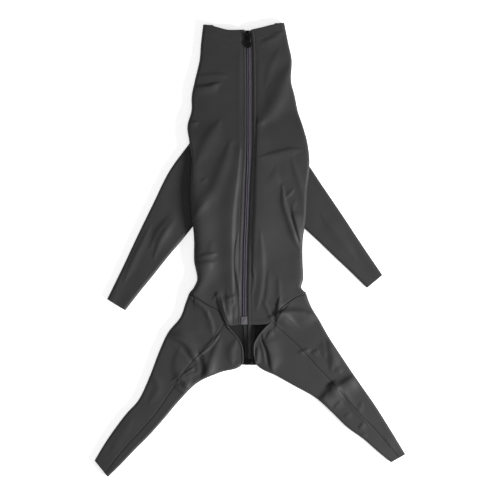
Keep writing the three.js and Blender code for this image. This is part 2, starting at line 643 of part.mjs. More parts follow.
// The upper layer of the inner panel runs out in a wedge between the seam and the rim, short of the hem
const wedgeAt = (at) => (at < CROTCH_AT ? at : mix(at, CROTCH_AT, WEDGE_SHORT * (at - CROTCH_AT)));

function addLegInner(leg) {
  const rows = steps(LEG_ROWS).map((at, row) => {
    const topAt = wedgeAt(at);
    const seam = read(leg.table, "at", "seam", topAt);
    const width = legPlan(leg, 0, at).distanceTo(legPlan(leg, 1, at));
    const bulge = legBulge(leg, at);
    const beside = besideSeam(leg, seam, topAt);
    const folded = row <= CROTCH_ROW;
    const last = folded ? 1 - bulge / width : 1;
    const top = steps(LEG_COLUMNS).map((t) => legTopPoint(leg, mix(seam + beside, last, t), topAt));
    const edge = legPlan(leg, last, at);
    const out = legPlan(leg, 1, at).sub(legPlan(leg, 0, at)).normalize();
    const under = legPlan(leg, UNDER_SEAM + besideSeam(leg, UNDER_SEAM, at), at);
    const rim = folded ? edge : tonguePoint(leg, at);
    const low = steps(2).map((t) => {
      const point = rim.clone().lerp(under, t);
      return new THREE.Vector3(point.x, point.y, WALL / 2);
    });
    return [...top, ...arcPoints(edge, out, bulge, top[LEG_COLUMNS].z, WALL / 2), ...low];
  });
  const inFold = (column) => column >= LEG_COLUMNS && column < LEG_COLUMNS + FOLD_ARC.length + 1;
  const keep = (row, column) => row < CROTCH_ROW || !inFold(column);
  addPiece(`leg_${sideName(leg.side)}_inner`, wallOf(rows, WALL, { keep }), CLOTH);
}

// Belly panel: one flat sheet on the floor, let in between the side seams, armholes and hip seams, with a
// tongue between the legs that is slotted for the belly zip

const BELLY_ZIP_X = zipX(1) + CROTCH_SHIFT;
const BELLY_ZIP_END = -BACK_LENGTH - CROTCH_DROP;

function sideSeam(side, from, to) {
  return steps(BACK_ROWS).map((row) => mix(read(NECK, "across", sideName(side), 1), HIP_AT, row))
    .filter((at) => at >= from && at <= to)
    .map((at) => new THREE.Vector2(edgeX(side, at) - side * (sideTuck(side, at) + GAP), -at * BACK_LENGTH));
}

function bellyHalf(side) {
  const sleeve = SLEEVES[sideName(side)];
  const leg = LEGS[sideName(side)];
  const neck = [0, 0.4, 0.7].map((across) =>
    bodyPlan(side, across, read(NECK, "across", sideName(side), across)));
  const inwards = new THREE.Vector2(-side * GAP * 2, 0);
  const armhole = [sleeve.outer(1), sleeve.inner(1)].map((point) => point.add(inwards));
  const hipStart = sideSeam(side, 0, HIP_AT).at(-1);
  const hem = steps(8).map((t) => hemPlan(side, mix(1, TAIL_CORNER[sideName(side)] + TONGUE_CORNER, t)))
    .filter((point) => side * (hipStart.x - point.x) > 0);
  const tongue = [1, CROTCH_AT].map((at) =>
    tonguePoint(leg, at).add(new THREE.Vector2(-side * (GAP + WALL), 0)));
  return [
    ...neck,
    ...sideSeam(side, 0, ARMHOLE_FROM[sideName(side)]),
    ...armhole,
    ...sideSeam(side, ARMHOLE_TO, HIP_AT),
    ...hem,
    ...tongue,
  ];
}

function addBelly() {
  const slotTop = BELLY_ZIP_END + BELLY_ZIP_LENGTH;
  const half = BELLY_SLOT / 2;
  const slot = [
    new THREE.Vector2(BELLY_ZIP_X + half, BELLY_ZIP_END),
    new THREE.Vector2(BELLY_ZIP_X + half, slotTop),
    new THREE.Vector2(BELLY_ZIP_X - half, slotTop),
    new THREE.Vector2(BELLY_ZIP_X - half, BELLY_ZIP_END),
  ];
  const outline = new THREE.Shape([...bellyHalf(RIGHT), ...slot, ...bellyHalf(LEFT).reverse()]);
  const sheet = new THREE.ExtrudeGeometry(outline, { depth: WALL, bevelEnabled: false });
  addPiece("belly_panel", sheet, CLOTH);
}

// Rolled bindings on the rims of the tail opening

function addBinding(leg) {
  const away = 2 * GAP + BINDING_WIDTH / 2;
  const points = steps(8).map((t) => {
    const at = mix(CROTCH_AT + BINDING_INSET, 1 - BINDING_INSET, t);
    const run = legPlan(leg, 1, at + BINDING_INSET).sub(legPlan(leg, 1, at - BINDING_INSET)).normalize();
    const rim = legTopPoint(leg, 1, at);
    return new THREE.Vector3(rim.x - leg.side * run.y * away, rim.y + leg.side * run.x * away, rim.z);
  });
  const section = new THREE.Shape();
  section.absarc(0, 0, BINDING_WIDTH / 2, 0, Math.PI * 2);
  const path = new THREE.CatmullRomCurve3(points);
  const roll = new THREE.ExtrudeGeometry(section, { steps: 12, curveSegments: 4, extrudePath: path });
  addPiece(`tail_binding_${sideName(leg.side)}`, roll, CLOTH);
}

// Back zip: two tapes under the cloth edges, the chain between them, a stop, the slider and its pull

const ZIP_ROWS = 24;
const TAPE_INNER = CHAIN_WIDTH / 2 + GAP;
const tapeZ = (at) => crownZ(at) - WALL / 2 - GAP - TAPE_THICKNESS / 2;
const chainZ = (at) => tapeZ(at) + (CHAIN_THICKNESS - TAPE_THICKNESS) / 4;
const ZIP_HEAD = (SLIDER_LENGTH / 2 - POST_LENGTH - GAP) / BACK_LENGTH;

function zipStrip(from, to, left, right, height, thickness) {
  const rows = steps(ZIP_ROWS).map((t) => {
    const at = mix(from, to, t);
    return [left, right].map((x) => new THREE.Vector3(zipX(at) + x, -at * BACK_LENGTH, height(at)));
  });
  return wallOf(rows, thickness);
}

function addZip() {
  const outer = TAPE_INNER + TAPE_WIDTH;
  const tape = (left, right) => zipStrip(ZIP_TOP_AT, 1, left, right, tapeZ, TAPE_THICKNESS);
  addPiece("zip_tape_left", tape(-outer, -TAPE_INNER), TAPE);
  addPiece("zip_tape_right", tape(TAPE_INNER, outer), TAPE);
  const half = CHAIN_WIDTH / 2;
  const chain = zipStrip(SLIDER_AT - ZIP_HEAD, 1, -half, half, chainZ, CHAIN_THICKNESS);
  addPiece("zip_chain", chain, CHAIN);
  const stopZ = (at) => chainZ(at) + (CHAIN_THICKNESS + STOP_THICKNESS) / 2 + GAP;
  const stopFrom = 1 - STOP_LENGTH / BACK_LENGTH;
  const stop = zipStrip(stopFrom, 1, -STOP_WIDTH / 2, STOP_WIDTH / 2, stopZ, STOP_THICKNESS);
  addPiece("zip_bottom_stop", stop, GREY_STOP);
}

// A closed mesh as a solid for joining, and back

function solidOf(geometry) {
  const plain = geometry.clone();
  plain.deleteAttribute("normal");
  plain.deleteAttribute("uv");
  const merged = mergeVertices(plain, SAME_POINT);
  const mesh = new wasm.Mesh({
    numProp: 3,
    vertProperties: merged.attributes.position.array,
    triVerts: Uint32Array.from(merged.index.array),
  });
  return new wasm.Manifold(mesh);
}

function joined(...pieces) {
  const whole = pieces.map(solidOf).reduce((sum, piece) => sum.add(piece)).getMesh();
  const geometry = new THREE.BufferGeometry();
  geometry.setAttribute("position", new THREE.BufferAttribute(whole.vertProperties, 3));
  geometry.setIndex(new THREE.BufferAttribute(whole.triVerts, 1));
  geometry.computeVertexNormals();
  return geometry;
}

// A plate lying flat, its outline a rounded box, with its lower face at the given height
function plate(width, length, thickness, y, z) {
  const [w, l] = [width / 2, length / 2];
  const corner = PLATE_CORNER * Math.min(width, length);
  const outline = new THREE.Shape();
  outline.absarc(w - corner, l - corner, corner, 0, Math.PI / 2);
  outline.absarc(corner - w, l - corner, corner, Math.PI / 2, Math.PI);
  outline.absarc(corner - w, corner - l, corner, Math.PI, 1.5 * Math.PI);
  outline.absarc(w - corner, corner - l, corner, 1.5 * Math.PI, 2 * Math.PI);
  return new THREE.ExtrudeGeometry(outline, { depth: thickness, bevelEnabled: false, curveSegments: 3 })
    .translate(0, y, z);
}

// The bridge over the slider that the pull hangs on, drawn from the side and as thick as it is wide
function bridge(z) {
  const half = BRIDGE_EYE / 2 + BRIDGE_WALL;
  const top = BRIDGE_EYE + BRIDGE_WALL;
  const outline = new THREE.Shape();
  outline.moveTo(-half, -MERGE);
  outline.lineTo(half, -MERGE);
  outline.absarc(half - BRIDGE_WALL, top - BRIDGE_WALL, BRIDGE_WALL, 0, Math.PI / 2);
  outline.absarc(BRIDGE_WALL - half, top - BRIDGE_WALL, BRIDGE_WALL, Math.PI / 2, Math.PI);
  const eye = new THREE.Path();
  eye.moveTo(-BRIDGE_EYE / 2, MERGE);
  eye.lineTo(-BRIDGE_EYE / 2, BRIDGE_EYE);
  eye.lineTo(BRIDGE_EYE / 2, BRIDGE_EYE);
  eye.lineTo(BRIDGE_EYE / 2, MERGE);
  outline.holes.push(eye);
  return new THREE.ExtrudeGeometry(outline, { depth: BRIDGE_WIDTH, bevelEnabled: false, curveSegments: 4 })
    .rotateX(Math.PI / 2).rotateZ(Math.PI / 2).translate(-BRIDGE_WIDTH / 2, 0, z);
}

const SLIDER_ROOM = CHAIN_THICKNESS / 2 + GAP;

function addSlider() {
  const postWidth = 2 * (TAPE_INNER - GAP);
  const postY = (SLIDER_LENGTH - POST_LENGTH) / 2;
  const height = 2 * SLIDER_ROOM + 2 * MERGE;
  const slider = joined(
    plate(SLIDER_WIDTH, SLIDER_LENGTH, PLATE_THICKNESS, 0, SLIDER_ROOM),
    plate(SLIDER_WIDTH, SLIDER_LENGTH, PLATE_THICKNESS, 0, -SLIDER_ROOM - PLATE_THICKNESS),
    plate(postWidth, POST_LENGTH, height, postY, -height / 2),
    bridge(SLIDER_ROOM + PLATE_THICKNESS),
  );
  slider.translate(zipX(SLIDER_AT), -SLIDER_AT * BACK_LENGTH, chainZ(SLIDER_AT));
  addPiece("zip_slider", slider, BLACK_METAL);
}

// The pull: a flat tongue with an eye for the bridge, its end bar turning inside the bridge
function addPull() {
  const bar = PULL_THICKNESS / 2;
  const half = PULL_WIDTH / 2;
  const end = PULL_END_WIDTH / 2;
  const centre = end + bar - PULL_LENGTH;
  const shoulder = Math.acos(half / end);
  const outline = new THREE.Shape();
  outline.moveTo(-half, bar);
  outline.lineTo(half, bar);
  outline.absarc(0, centre, end, shoulder, Math.PI - shoulder, true);
  const eye = new THREE.Path();
  const eyeHalf = BRIDGE_WIDTH / 2 + GAP;
  eye.moveTo(-eyeHalf, -bar);
  eye.lineTo(-eyeHalf, -bar - PULL_EYE_LENGTH);
  eye.lineTo(eyeHalf, -bar - PULL_EYE_LENGTH);
  eye.lineTo(eyeHalf, -bar);
  const hole = new THREE.Path();
  hole.absarc(0, centre, PULL_HOLE / 2, 0, Math.PI * 2);
  outline.holes.push(eye, hole);
  const tongue = new THREE.ExtrudeGeometry(outline, { depth: PULL_THICKNESS, bevelEnabled: false })
    .translate(0, 0, -bar)
    .rotateX(THREE.MathUtils.degToRad(PULL_DROOP_ANGLE));
  const hinge = chainZ(SLIDER_AT) + SLIDER_ROOM + PLATE_THICKNESS + BRIDGE_EYE / 2;
  tongue.translate(zipX(SLIDER_AT), -SLIDER_AT * BACK_LENGTH, hinge);
  addPiece("zip_pull", tongue, BLACK_METAL);
}

// Belly zip: it lies on the inner face of the belly panel over the slot, and runs up from the crotch

const BELLY_TAPE_Z = WALL + GAP + TAPE_THICKNESS / 2;
const BELLY_CHAIN_Z = WALL + GAP + CHAIN_THICKNESS / 2;

function bellyStrip(from, to, near, far, farEnd, height, thickness) {
  const rows = steps(4).map((t) => [near, mix(farEnd, far, smooth(t * 2))].map((x) =>
    new THREE.Vector3(BELLY_ZIP_X + x, BELLY_ZIP_END + mix(from, to, t), height)));
  return wallOf(rows, thickness);
}

function addBellyZip() {
  for (const side of [LEFT, RIGHT]) {
    const far = side * (TAPE_INNER + BELLY_TAPE_WIDTH);
    const end = side * (TAPE_INNER + BELLY_TAPE_END_WIDTH);
    const tape = bellyStrip(0, BELLY_ZIP_LENGTH, side * TAPE_INNER, far, end, BELLY_TAPE_Z, TAPE_THICKNESS);
    addPiece(`belly_zip_tape_${sideName(side)}`, tape, BLACK_TAPE);
  }
  const half = CHAIN_WIDTH / 2;
  const foot = POST_LENGTH + GAP;
  const chain = bellyStrip(foot, BELLY_ZIP_LENGTH, -half, half, half, BELLY_CHAIN_Z, CHAIN_THICKNESS);
  addPiece("belly_zip_chain", chain, BLACK_TAPE);
}

function addBellySlider() {
  const chainTop = BELLY_CHAIN_Z + CHAIN_THICKNESS / 2 + GAP;
  const postHeight = chainTop + MERGE;
  const postY = (POST_LENGTH - BELLY_SLIDER_LENGTH) / 2;
  const boss = new THREE.Shape();
  boss.absarc(0, 0, BELLY_BOSS_WIDTH / 2, 0, Math.PI * 2);
  const hole = new THREE.Path();
  hole.absarc(0, 0, BELLY_BOSS_HOLE / 2, 0, Math.PI * 2);
  boss.holes.push(hole);
  const ring = new THREE.ExtrudeGeometry(boss, { depth: PLATE_THICKNESS, bevelEnabled: false })
    .translate(0, 0, chainTop + PLATE_THICKNESS - MERGE);
  const slider = joined(
    plate(BELLY_SLOT - 2 * GAP, BELLY_SLIDER_LENGTH, WALL, 0, 0),
    plate(BELLY_SLOT - 2 * GAP, POST_LENGTH, postHeight, postY, MERGE),
    plate(BELLY_SLIDER_WIDTH, BELLY_SLIDER_LENGTH, PLATE_THICKNESS, 0, chainTop),
    ring,
  );
  slider.translate(BELLY_ZIP_X, BELLY_ZIP_END + BELLY_SLIDER_LENGTH / 2, 0);
  addPiece("belly_zip_slider", slider, BLACK_METAL);
}

addBack(LEFT);
addBack(RIGHT);
addBelly();
addSleeve(LEFT);
addSleeve(RIGHT);
for (const leg of Object.values(LEGS)) {
  addLegOuter(leg);
  addLegInner(leg);
  addBinding(leg);
}
addZip();
addSlider();
addPull();
addBellyZip();
addBellySlider();

// The suit's frame starts on the floor, at the middle of its outline seen from above
const whole = new THREE.Box3().setFromObject(group);
const middle = whole.getCenter(new THREE.Vector3());
group.position.set(-middle.x, -middle.y, -whole.min.z);

export default group;
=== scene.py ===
"""A dog jumpsuit of charcoal stretch jersey, laid flat on its belly with its long back zip closed.

Every cloth panel is a fine sheet with its own folds, hems and seams. The zips have woven tapes, coils, sewn
ends and moulded sliders. Lengths are in millimetres until a mesh is made, which is in metres.
"""
import math

import bmesh
import bpy
import numpy as np
from mathutils import Matrix, Vector


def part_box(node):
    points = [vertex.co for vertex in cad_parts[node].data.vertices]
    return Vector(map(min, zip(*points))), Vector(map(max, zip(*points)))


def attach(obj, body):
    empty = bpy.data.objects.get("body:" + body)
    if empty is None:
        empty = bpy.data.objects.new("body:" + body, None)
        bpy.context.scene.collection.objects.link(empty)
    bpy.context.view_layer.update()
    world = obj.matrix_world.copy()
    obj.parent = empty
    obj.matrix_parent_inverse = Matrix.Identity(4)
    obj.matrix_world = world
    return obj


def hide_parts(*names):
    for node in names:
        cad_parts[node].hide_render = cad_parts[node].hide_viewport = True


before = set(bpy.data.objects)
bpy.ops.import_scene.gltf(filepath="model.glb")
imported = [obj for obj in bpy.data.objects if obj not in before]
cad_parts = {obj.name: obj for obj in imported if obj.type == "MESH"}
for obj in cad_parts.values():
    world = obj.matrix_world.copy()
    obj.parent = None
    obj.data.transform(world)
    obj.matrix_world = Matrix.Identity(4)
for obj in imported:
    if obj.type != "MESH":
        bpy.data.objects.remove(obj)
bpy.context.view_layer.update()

MM = 0.001
LEFT, RIGHT = -1, 1
SIDE = {LEFT: "left", RIGHT: "right"}

# Cloth
WALL = 1.2
GAP = 0.4
SEAM_GAP = 0.5

# Body of the suit as it lies
BACK_LENGTH = 450
CHEST_WIDTH = 182
LIE_HEIGHT = 19
SIDE_HEIGHT = 10
SIDE_BULGE = SIDE_HEIGHT / 3
SIDE_TUCK = 14
DOME_POWER = 3
EDGE_LIFT = 0.72

# Front sleeves
SLEEVE_OUTSEAM = 264
SLEEVE_INSEAM = 169
SLEEVE_WIDTH = 78
SLEEVE_HEIGHT = 9
SLEEVE_CUFF_HEIGHT = 8.4
SLEEVE_SAG = 0.54
SLEEVE_LEAN = {LEFT: 31.9, RIGHT: 39.8}
RIGHT_SLEEVE_TUCK = 22
RIGHT_SLEEVE_SLIM = 0.95
SLEEVE_HIDDEN = {LEFT: 0, RIGHT: 71}
ARMHOLE_TOP = {LEFT: 0.397, RIGHT: 0.482}
ARMHOLE_FROM = {LEFT: 0.36, RIGHT: 0.33}

# Rear legs
LEG_LENGTH = 288
LEG_WIDTH = 80
LEG_HEIGHT = 11
LEG_CUFF_HEIGHT = 7.8
LEG_LEAN = 34.1
CROTCH_AT = 0.8
UNDER_SEAM = 0.55

# Back zip. The slider's post is given by the half width and the place of its foot and its head.
ZIP_OPENING = 10.9
OPENING_SHIFT_AT, OPENING_SHIFT = [0, .03, .08, .42, .52, 1], [0, .8, 1.7, 1.7, .2, .2]
TAPE_WIDTH = 8
TAPE_THICKNESS = 0.8
CHAIN_WIDTH = 5.6
CHAIN_THICKNESS = 2.2
COIL_PITCH = 1.45
COIL_WIRE = 0.42
SLIDER_LENGTH = 12
SLIDER_WIDTH = 8.6
PLATE_THICKNESS = 1.2
SLIDER_POST = (1.3, 2.6), (1.6, 5.2)
RAIL_THICKNESS = 0.9
RAIL_HEIGHT = 1.3
RAIL_ENDS = -4.6, 0.4
RAIL_OUT = 3.75
RAIL_LEAN = 7
BRIDGE_WIDTH = 2.6
BRIDGE_EYE = 3.2
BRIDGE_WALL = 1.2
BRIDGE_BEND = 1.9
PULL_LENGTH = 18
PULL_WIDTH = 7.4
PULL_END_WIDTH = 11.4
PULL_THICKNESS = 1.4
PULL_EYE_LENGTH = 4.3
PULL_HOLE = 3.2
PULL_DROOP = 5
STOP_LENGTH = 11
STOP_WIDTH = 9

# Tail opening and belly zip
CROTCH_SPREAD = 24.4
CROTCH_DROP = 61.7
CROTCH_SHIFT = 7.8
BINDING_WIDTH = 2.6
BINDING_LIFT = 0.2
BELLY_SLOT = 5
BELLY_ZIP_LENGTH = 150
BELLY_CHAIN_FROM = 3
BELLY_TAPE_WIDTH = 6
BELLY_TAPE_END_WIDTH = 2.3
BELLY_SLIDER_LENGTH = 9
BELLY_SLIDER_WIDTH = 7
BELLY_BOSS_WIDTH = 5
BELLY_BOSS_HOLE = 2
BELLY_POST_LENGTH = 2.4

# Sewing
THREAD = 0.28
STITCH_PITCH = 3.1
STITCH_LENGTH = 2.3
ZIP_STITCH = 3.9
NECK_HEM = 17
TAIL_HEM = 7.5

# Relief of the sewn cloth: hems, the topstitched edge beside the zip, and seams with what lies under them
HEM_STAND = 0.15
HEM_GROOVE = 0.18
STITCH_GROOVE = 0.3
EDGE_ROLL = 0.2
EDGE_PUFF = 0.14
CROTCH_SEAM = 0.85
LEG_SEAM = 0.4
HIP_SEAM = 0.5
LEG_SEAM_SINK = 0.4
LEG_LEAST_HEIGHT = WALL * 1.5 + 0.8
PANEL_GAP = 0.24
ALLOWANCE = 7
ALLOWANCE_THICKNESS = 0.8
ALLOWANCE_DROP = 1.1

# Coils: how far a side's loops stand from the middle beyond their reach, how far they are staggered as a
# share of the pitch, and how high they rise
COIL_APART = 0.12
COIL_STAGGER = 0.25
COIL_RISE = 0.85
BELLY_COIL_RISE = 0.8
CORE_INSET = 0.3
CORE_THICKNESS = 1
TAPE_UNDER_CHAIN = 0.5
TAPE_INNER = CHAIN_WIDTH / 2 + GAP
CORE_REACH = CHAIN_WIDTH / 2 - CORE_INSET
COIL_REACH = (CHAIN_WIDTH / 2 - COIL_WIRE) / 2
CORD = 0.28
CORD_LIFT = 0.95

# Rounded edges, how far a roll narrows at its ends, and the fineness of the meshes
METAL_EDGE = 0.35
CLOTH_EDGE = 0.35
TUBE_END = 0.55
TOP_COLUMNS = 44
LOW_COLUMNS = 12
LEG_ROWS = 200
CROTCH_ROW = round(CROTCH_AT * LEG_ROWS)

# Places down the back, from 0 at the neck line to 1 at the zip's lower end
ZIP_TOP_AT = 0.022
SLIDER_AT = 0.043
HIP_AT = 0.9

# Down the back: half widths and the zip's place as shares of half the chest, the heights of side and crown
# as shares of their own, and how far each folded side is held up by the sleeve below it
BODY_AT = [0, .07, .12, .19, .24, .29, .34, .39, .45, .5, .55, .64, .69, .73, .79, .85, .88, .9, 1]
BODY = {
    "left": [.77, .81, .83, .91, .96, .965, 1.03, 1, .96, .97, .99, .96, .93, .92, .92, .87, .93, 1, 1],
    "right": [.56, .63, .68, .67, .73, .78, .86, .93, .97, .96, .93, .91, .88, .86, .86, .87, .84, .915,
              .915],
    "zip": [-.052, -.037, -.033, -.03, -.03, -.03, -.03, -.03, -.035, -.04, -.05, -.065, -.075, -.085, -.09,
            -.095, -.1, -.1, -.1],
    "side": [.55, .6, .6, .65, .7, .7, .65, .5, .45, .45, .45, .45, .55, .8, .9, .9, .9, .9, .9],
    "crown": [.57, .58, .62, .66, .7, .76, .84, .94, 1, 1, 1, 1, .94, .88, .84, .8, .78, .76, .7],
    "left_up": [0, 0, 0, 0, 0, 0, .2, 1, 1, 1, 1, 1, .75, 0, 0, 0, 0, 0, 0],
    "right_up": [0, 0, 0, 0, 0, 0, .95, 1, 1, 1, 1, 1, .9, 0, 0, 0, 0, 0, 0],
}

# The neck edge and the hem as places down the back, read across from the zip to the folded side
NECK_ACROSS = [0, .4, .6, .74, .86, 1]
NECK = {
    LEFT: [.02, .0205, .0148, .0097, .0057, .003],
    RIGHT: [.02, .0105, .0052, .002, -.001, -.003],
}
HEM_ACROSS = [0, .27, .43, .56, .7, .85, 1]
HEM = {
    LEFT: [1, 1, .956, .943, .931, .914, HIP_AT],
    RIGHT: [1, 1, .99, .95, .927, .909, HIP_AT],
}
TAIL_CORNER = {LEFT: .29, RIGHT: .43}
TONGUE_CORNER = .07

# Sleeves and legs from the cuff up: sides as shares of the width, heights from the cuff's to the full one
SLEEVE_AT = [0, .2, .4, .6, .8, 1]
SLEEVE = {
    "outer": [.4, .54, .7, .84, .97, .88],
    "inner": [.4, .49, .6, .7, .82, .93],
    "height": [0, .3, .6, .9, 1, 1],
}

LEG_AT = [0, .1, .2, .3, .4, .5, .6, .7, .8, .85, .9, .95, 1]
LEG = {
    LEFT: {
        "outer_up": [.017, .11, .21, .31, .41, .54, .67, .78, .87, .91, .95, .985, 1.012],
        "outer": [.18, .2, .2, .18, .135, .21, .32, .385, .355, .37, .41, .44, .462],
        "inner_up": [-.015, .08, .18, .28, .39, .52, .65, .76, .855, .93, .962, .976, .99],
        "inner": [.19, .26, .32, .39, .445, .495, .59, .83, 1.09, .93, .75, .57, .45],
        "seam": [.78, .71, .7, .7, .69, .68, .64, .57, .53, .6, .73, .88, .99],
        "height": [0, .35, .5, .55, .55, .65, .85, .95, 1, 1, 1, 1, 1],
    },
    RIGHT: {
        "outer_up": [-.002, .1, .2, .3, .4, .505, .62, .73, .83, .875, .915, .95, .98],
        "outer": [.16, .18, .195, .205, .2, .195, .198, .205, .235, .24, .25, .275, .304],
        "inner_up": [.005, .09, .185, .285, .395, .505, .61, .71, .815, .9, .935, .952, .957],
        "inner": [.14, .23, .32, .45, .53, .63, .82, 1, 1.19, 1.07, .89, .69, .51],
        "seam": [.45, .45, .46, .48, .5, .48, .46, .44, .44, .54, .7, .87, .99],
        "height": [0, .35, .5, .55, .6, .75, .85, .95, 1, 1, 1, 1, 1],
    },
}

# Folds are drawn on a grid of 1.5 mm squares, 500 by 500, whose middle is the frame's origin and whose rows
# run down from the neck. A fold is its path in squares, then in millimetres its rise and how wide it falls
# away on the lower-left side and on the upper-right side of the path. A rise below zero makes it a crease,
# where the cloth on the upper-right side laps over the cloth on the other.
GRID = 1.5
FOLD_GAIN = 1.2
RIPPLE = 0.16
LAP_SHIFT, LAP_GAIN, LAP_SPREAD = 0.8, 0.8, 3.2
TOP_FOLDS = [
    # left half of the back
    ([(188, 87.5), (206, 87), (219, 83)], 1.7, 9, 2.6),
    ([(198, 76), (214, 75), (228, 75.5)], 0.6, 6, 2.8),
    ([(186, 124), (198, 122)], 1.1, 5, 2.4),
    ([(219, 122), (207, 141), (197, 162)], 1.5, 8, 12),
    ([(230, 143), (226, 158), (221, 173), (213, 190), (203, 202), (196, 214)], 1.7, 9, 11),
    ([(240, 150), (237.5, 172), (235, 190), (232.5, 212), (231.5, 235), (231.3, 258), (231.8, 280),
      (233.5, 303)], 2.3, 16, 4),
    ([(236.4, 234), (234.4, 252), (234.4, 268), (236.4, 280), (238.2, 292), (237.5, 306)], -1.5, 1.7, 1.3),
    ([(200, 182), (206, 177)], -0.6, 1.6, 1.8),
    ([(204, 200), (197, 210), (193, 217)], -0.8, 4, 3),
    ([(189, 176), (189, 205), (190, 235), (191, 268), (194, 294)], 5.2, 9, 37),
    ([(191, 267), (203, 264), (214, 262)], 1.1, 9, 4),
    ([(199, 257), (217, 253)], 1.0, 4, 2.6),
    ([(189, 296), (199, 280), (207, 265), (212, 244)], 1.0, 10, 12),
    ([(213, 300), (218, 294), (222, 299)], 1.0, 4, 2.4),
    ([(215.5, 296), (219, 306), (222, 315), (227, 327)], -2.8, 2.6, 4.8),
    ([(221, 298), (224, 310), (228, 321)], 1.5, 2, 2.2),
    ([(225.5, 290), (226.3, 305), (227, 320)], -1.1, 2, 2.2),
    ([(229, 295), (229.4, 310), (229.6, 324)], 0.4, 2.6, 3),
    ([(226, 299), (235, 295.5)], 0.6, 4, 2),
    ([(235, 292), (234.6, 308), (234.5, 324)], 0.5, 2.4, 3),
    ([(240, 40), (239.5, 100), (240, 150)], 0.25, 5, 2.5),
    # right half of the back
    ([(262, 43), (272, 38.5), (282, 32)], 0.8, 3.6, 8),
    ([(279, 50), (271, 67), (265, 86)], 0.5, 5, 6),
    ([(293, 64), (285, 82), (278, 98), (270, 112), (262, 122)], 2.3, 13, 12),
    ([(262, 156.5), (276, 153.5), (288, 150.5), (299, 149.5)], 1.1, 10, 3.2),
    ([(266, 178), (274, 183), (282, 182)], -0.9, 9, 8),
    ([(282.6, 186), (284.3, 203), (289, 219), (295, 237), (300.5, 251)], 2.0, 5, 2.6),
    ([(291, 210), (294, 221), (297.5, 234), (301, 247)], -3.2, 1.6, 3),
    ([(286, 198), (294, 189)], 0.6, 3.5, 2.2),
    ([(292, 208), (296, 201)], 0.4, 4, 3),
    ([(292, 160), (298, 178), (303.5, 196), (304.5, 214)], 0.9, 5, 5),
    ([(260.5, 232), (262, 255), (262, 278), (259.5, 296), (257, 309)], 0.9, 6, 4),
    ([(267, 272), (266, 288), (264, 302)], -0.9, 2.4, 2),
    ([(252.6, 264), (254, 280), (251.5, 297)], 0.4, 2.4, 2.2),
    ([(262.5, 299), (267, 308), (272, 320)], 0.8, 2.6, 3),
    ([(278.4, 277), (279, 290), (279, 305)], 0.6, 3.6, 3.4),
    ([(278, 299), (277, 308), (275.5, 320)], -2.6, 1.4, 2.4),
    ([(303, 252), (302, 270), (302, 288)], 1.0, 15, 5),
    ([(259.5, 52), (259.5, 100), (259.5, 140)], 0.35, 4.5, 6),
    ([(257.5, 124), (257.5, 175), (257, 205), (255.5, 236), (253.5, 272)], 2.4, 6, 28),
    # hips
    ([(189, 297), (204, 308), (209, 319)], 1.2, 4, 3),
    ([(187, 295), (191, 301)], -1.5, 3, 2),
    ([(208, 311), (211.5, 324), (213, 334)], 1.0, 5, 3),
    ([(284, 308.5), (279, 314.5), (274.6, 324)], -2.4, 2.6, 8),
    ([(272, 316.5), (283, 313.5), (294, 312.5), (305, 313.5), (319, 316)], 3.0, 14, 6),
    # left leg
    ([(219, 334.5), (210, 345), (198, 356.5)], 1.5, 3.4, 3),
    ([(219.5, 340), (214, 352), (210, 365), (206, 381)], 1.3, 4, 8),
    ([(197, 354), (203, 361), (205, 369), (203, 377), (199, 383)], -3.8, 4, 4.4),
    ([(164, 338.5), (178, 341), (186, 347), (190.5, 355), (194.5, 363)], -3.4, 4.4, 3.4),
    ([(172, 344), (182, 353), (190, 364)], 0.5, 4, 3),
    ([(183.5, 373.5), (193, 367)], -1.4, 1.5, 1.8),
    ([(185, 377), (193, 374), (200, 371)], 0.6, 3, 3),
    ([(196, 364), (199, 371)], 0.6, 3, 3),
    ([(172.5, 386), (180, 380), (183, 385), (186, 391)], -2.6, 2.6, 2.6),
    ([(174, 387), (180, 391), (186, 396)], -1.2, 1.8, 2.2),
    ([(176, 349), (173, 364), (175, 379)], -1.3, 6, 5),
    ([(190, 377), (187, 386)], 0.4, 4, 4),
    ([(152, 372), (158, 388), (150, 402)], 0.8, 6, 7),
    ([(131, 420), (121, 437), (112, 452)], 0.5, 8, 7),
    ([(172, 330), (190, 333), (204, 333)], -0.6, 5, 5),
    ([(236, 340), (231, 352), (232, 364)], 1.2, 6, 6),
    # right leg
    ([(261.5, 338), (266, 347), (269, 357), (270.5, 371)], -3.5, 2.2, 4),
    ([(260, 341), (263.5, 352), (265, 365)], 1.0, 2.6, 2.4),
    ([(256.8, 347), (255.2, 365)], -1.8, 1.5, 1.5),
    ([(265.5, 338), (270.5, 329.5)], -1.4, 1.8, 1.8),
    ([(328, 334), (328, 349), (330, 359), (328, 369)], -2.2, 6, 3),
    ([(323, 342), (325, 357)], 0.7, 6, 4),
    ([(298, 353), (310, 348.5)], 0.9, 4, 2.2),
    ([(311, 353), (318, 348.5)], -1.0, 2, 2),
    ([(337, 367), (340, 373)], 0.7, 6, 6),
    ([(356, 375), (347, 382.5), (338, 387), (331, 384.5)], 3.0, 15, 6),
    ([(331, 381), (328, 389), (322, 396.5), (315, 405)], -3.4, 5.5, 4.5),
    ([(331, 382), (338, 391)], -1.2, 1.8, 1.8),
    ([(340, 400), (333, 408)], -0.8, 2, 2),
    ([(350, 412), (343, 416)], -0.6, 2, 2),
    ([(363, 422), (358, 428.5)], -0.9, 1.8, 1.8),
    ([(367, 435), (359, 435)], 0.5, 4, 2),
    ([(362, 402), (359, 412)], 0.5, 4, 4),
    ([(345, 392), (352, 405), (368, 424)], 0.6, 4, 5),
    ([(385, 436), (394, 449)], 0.4, 5, 5),
]
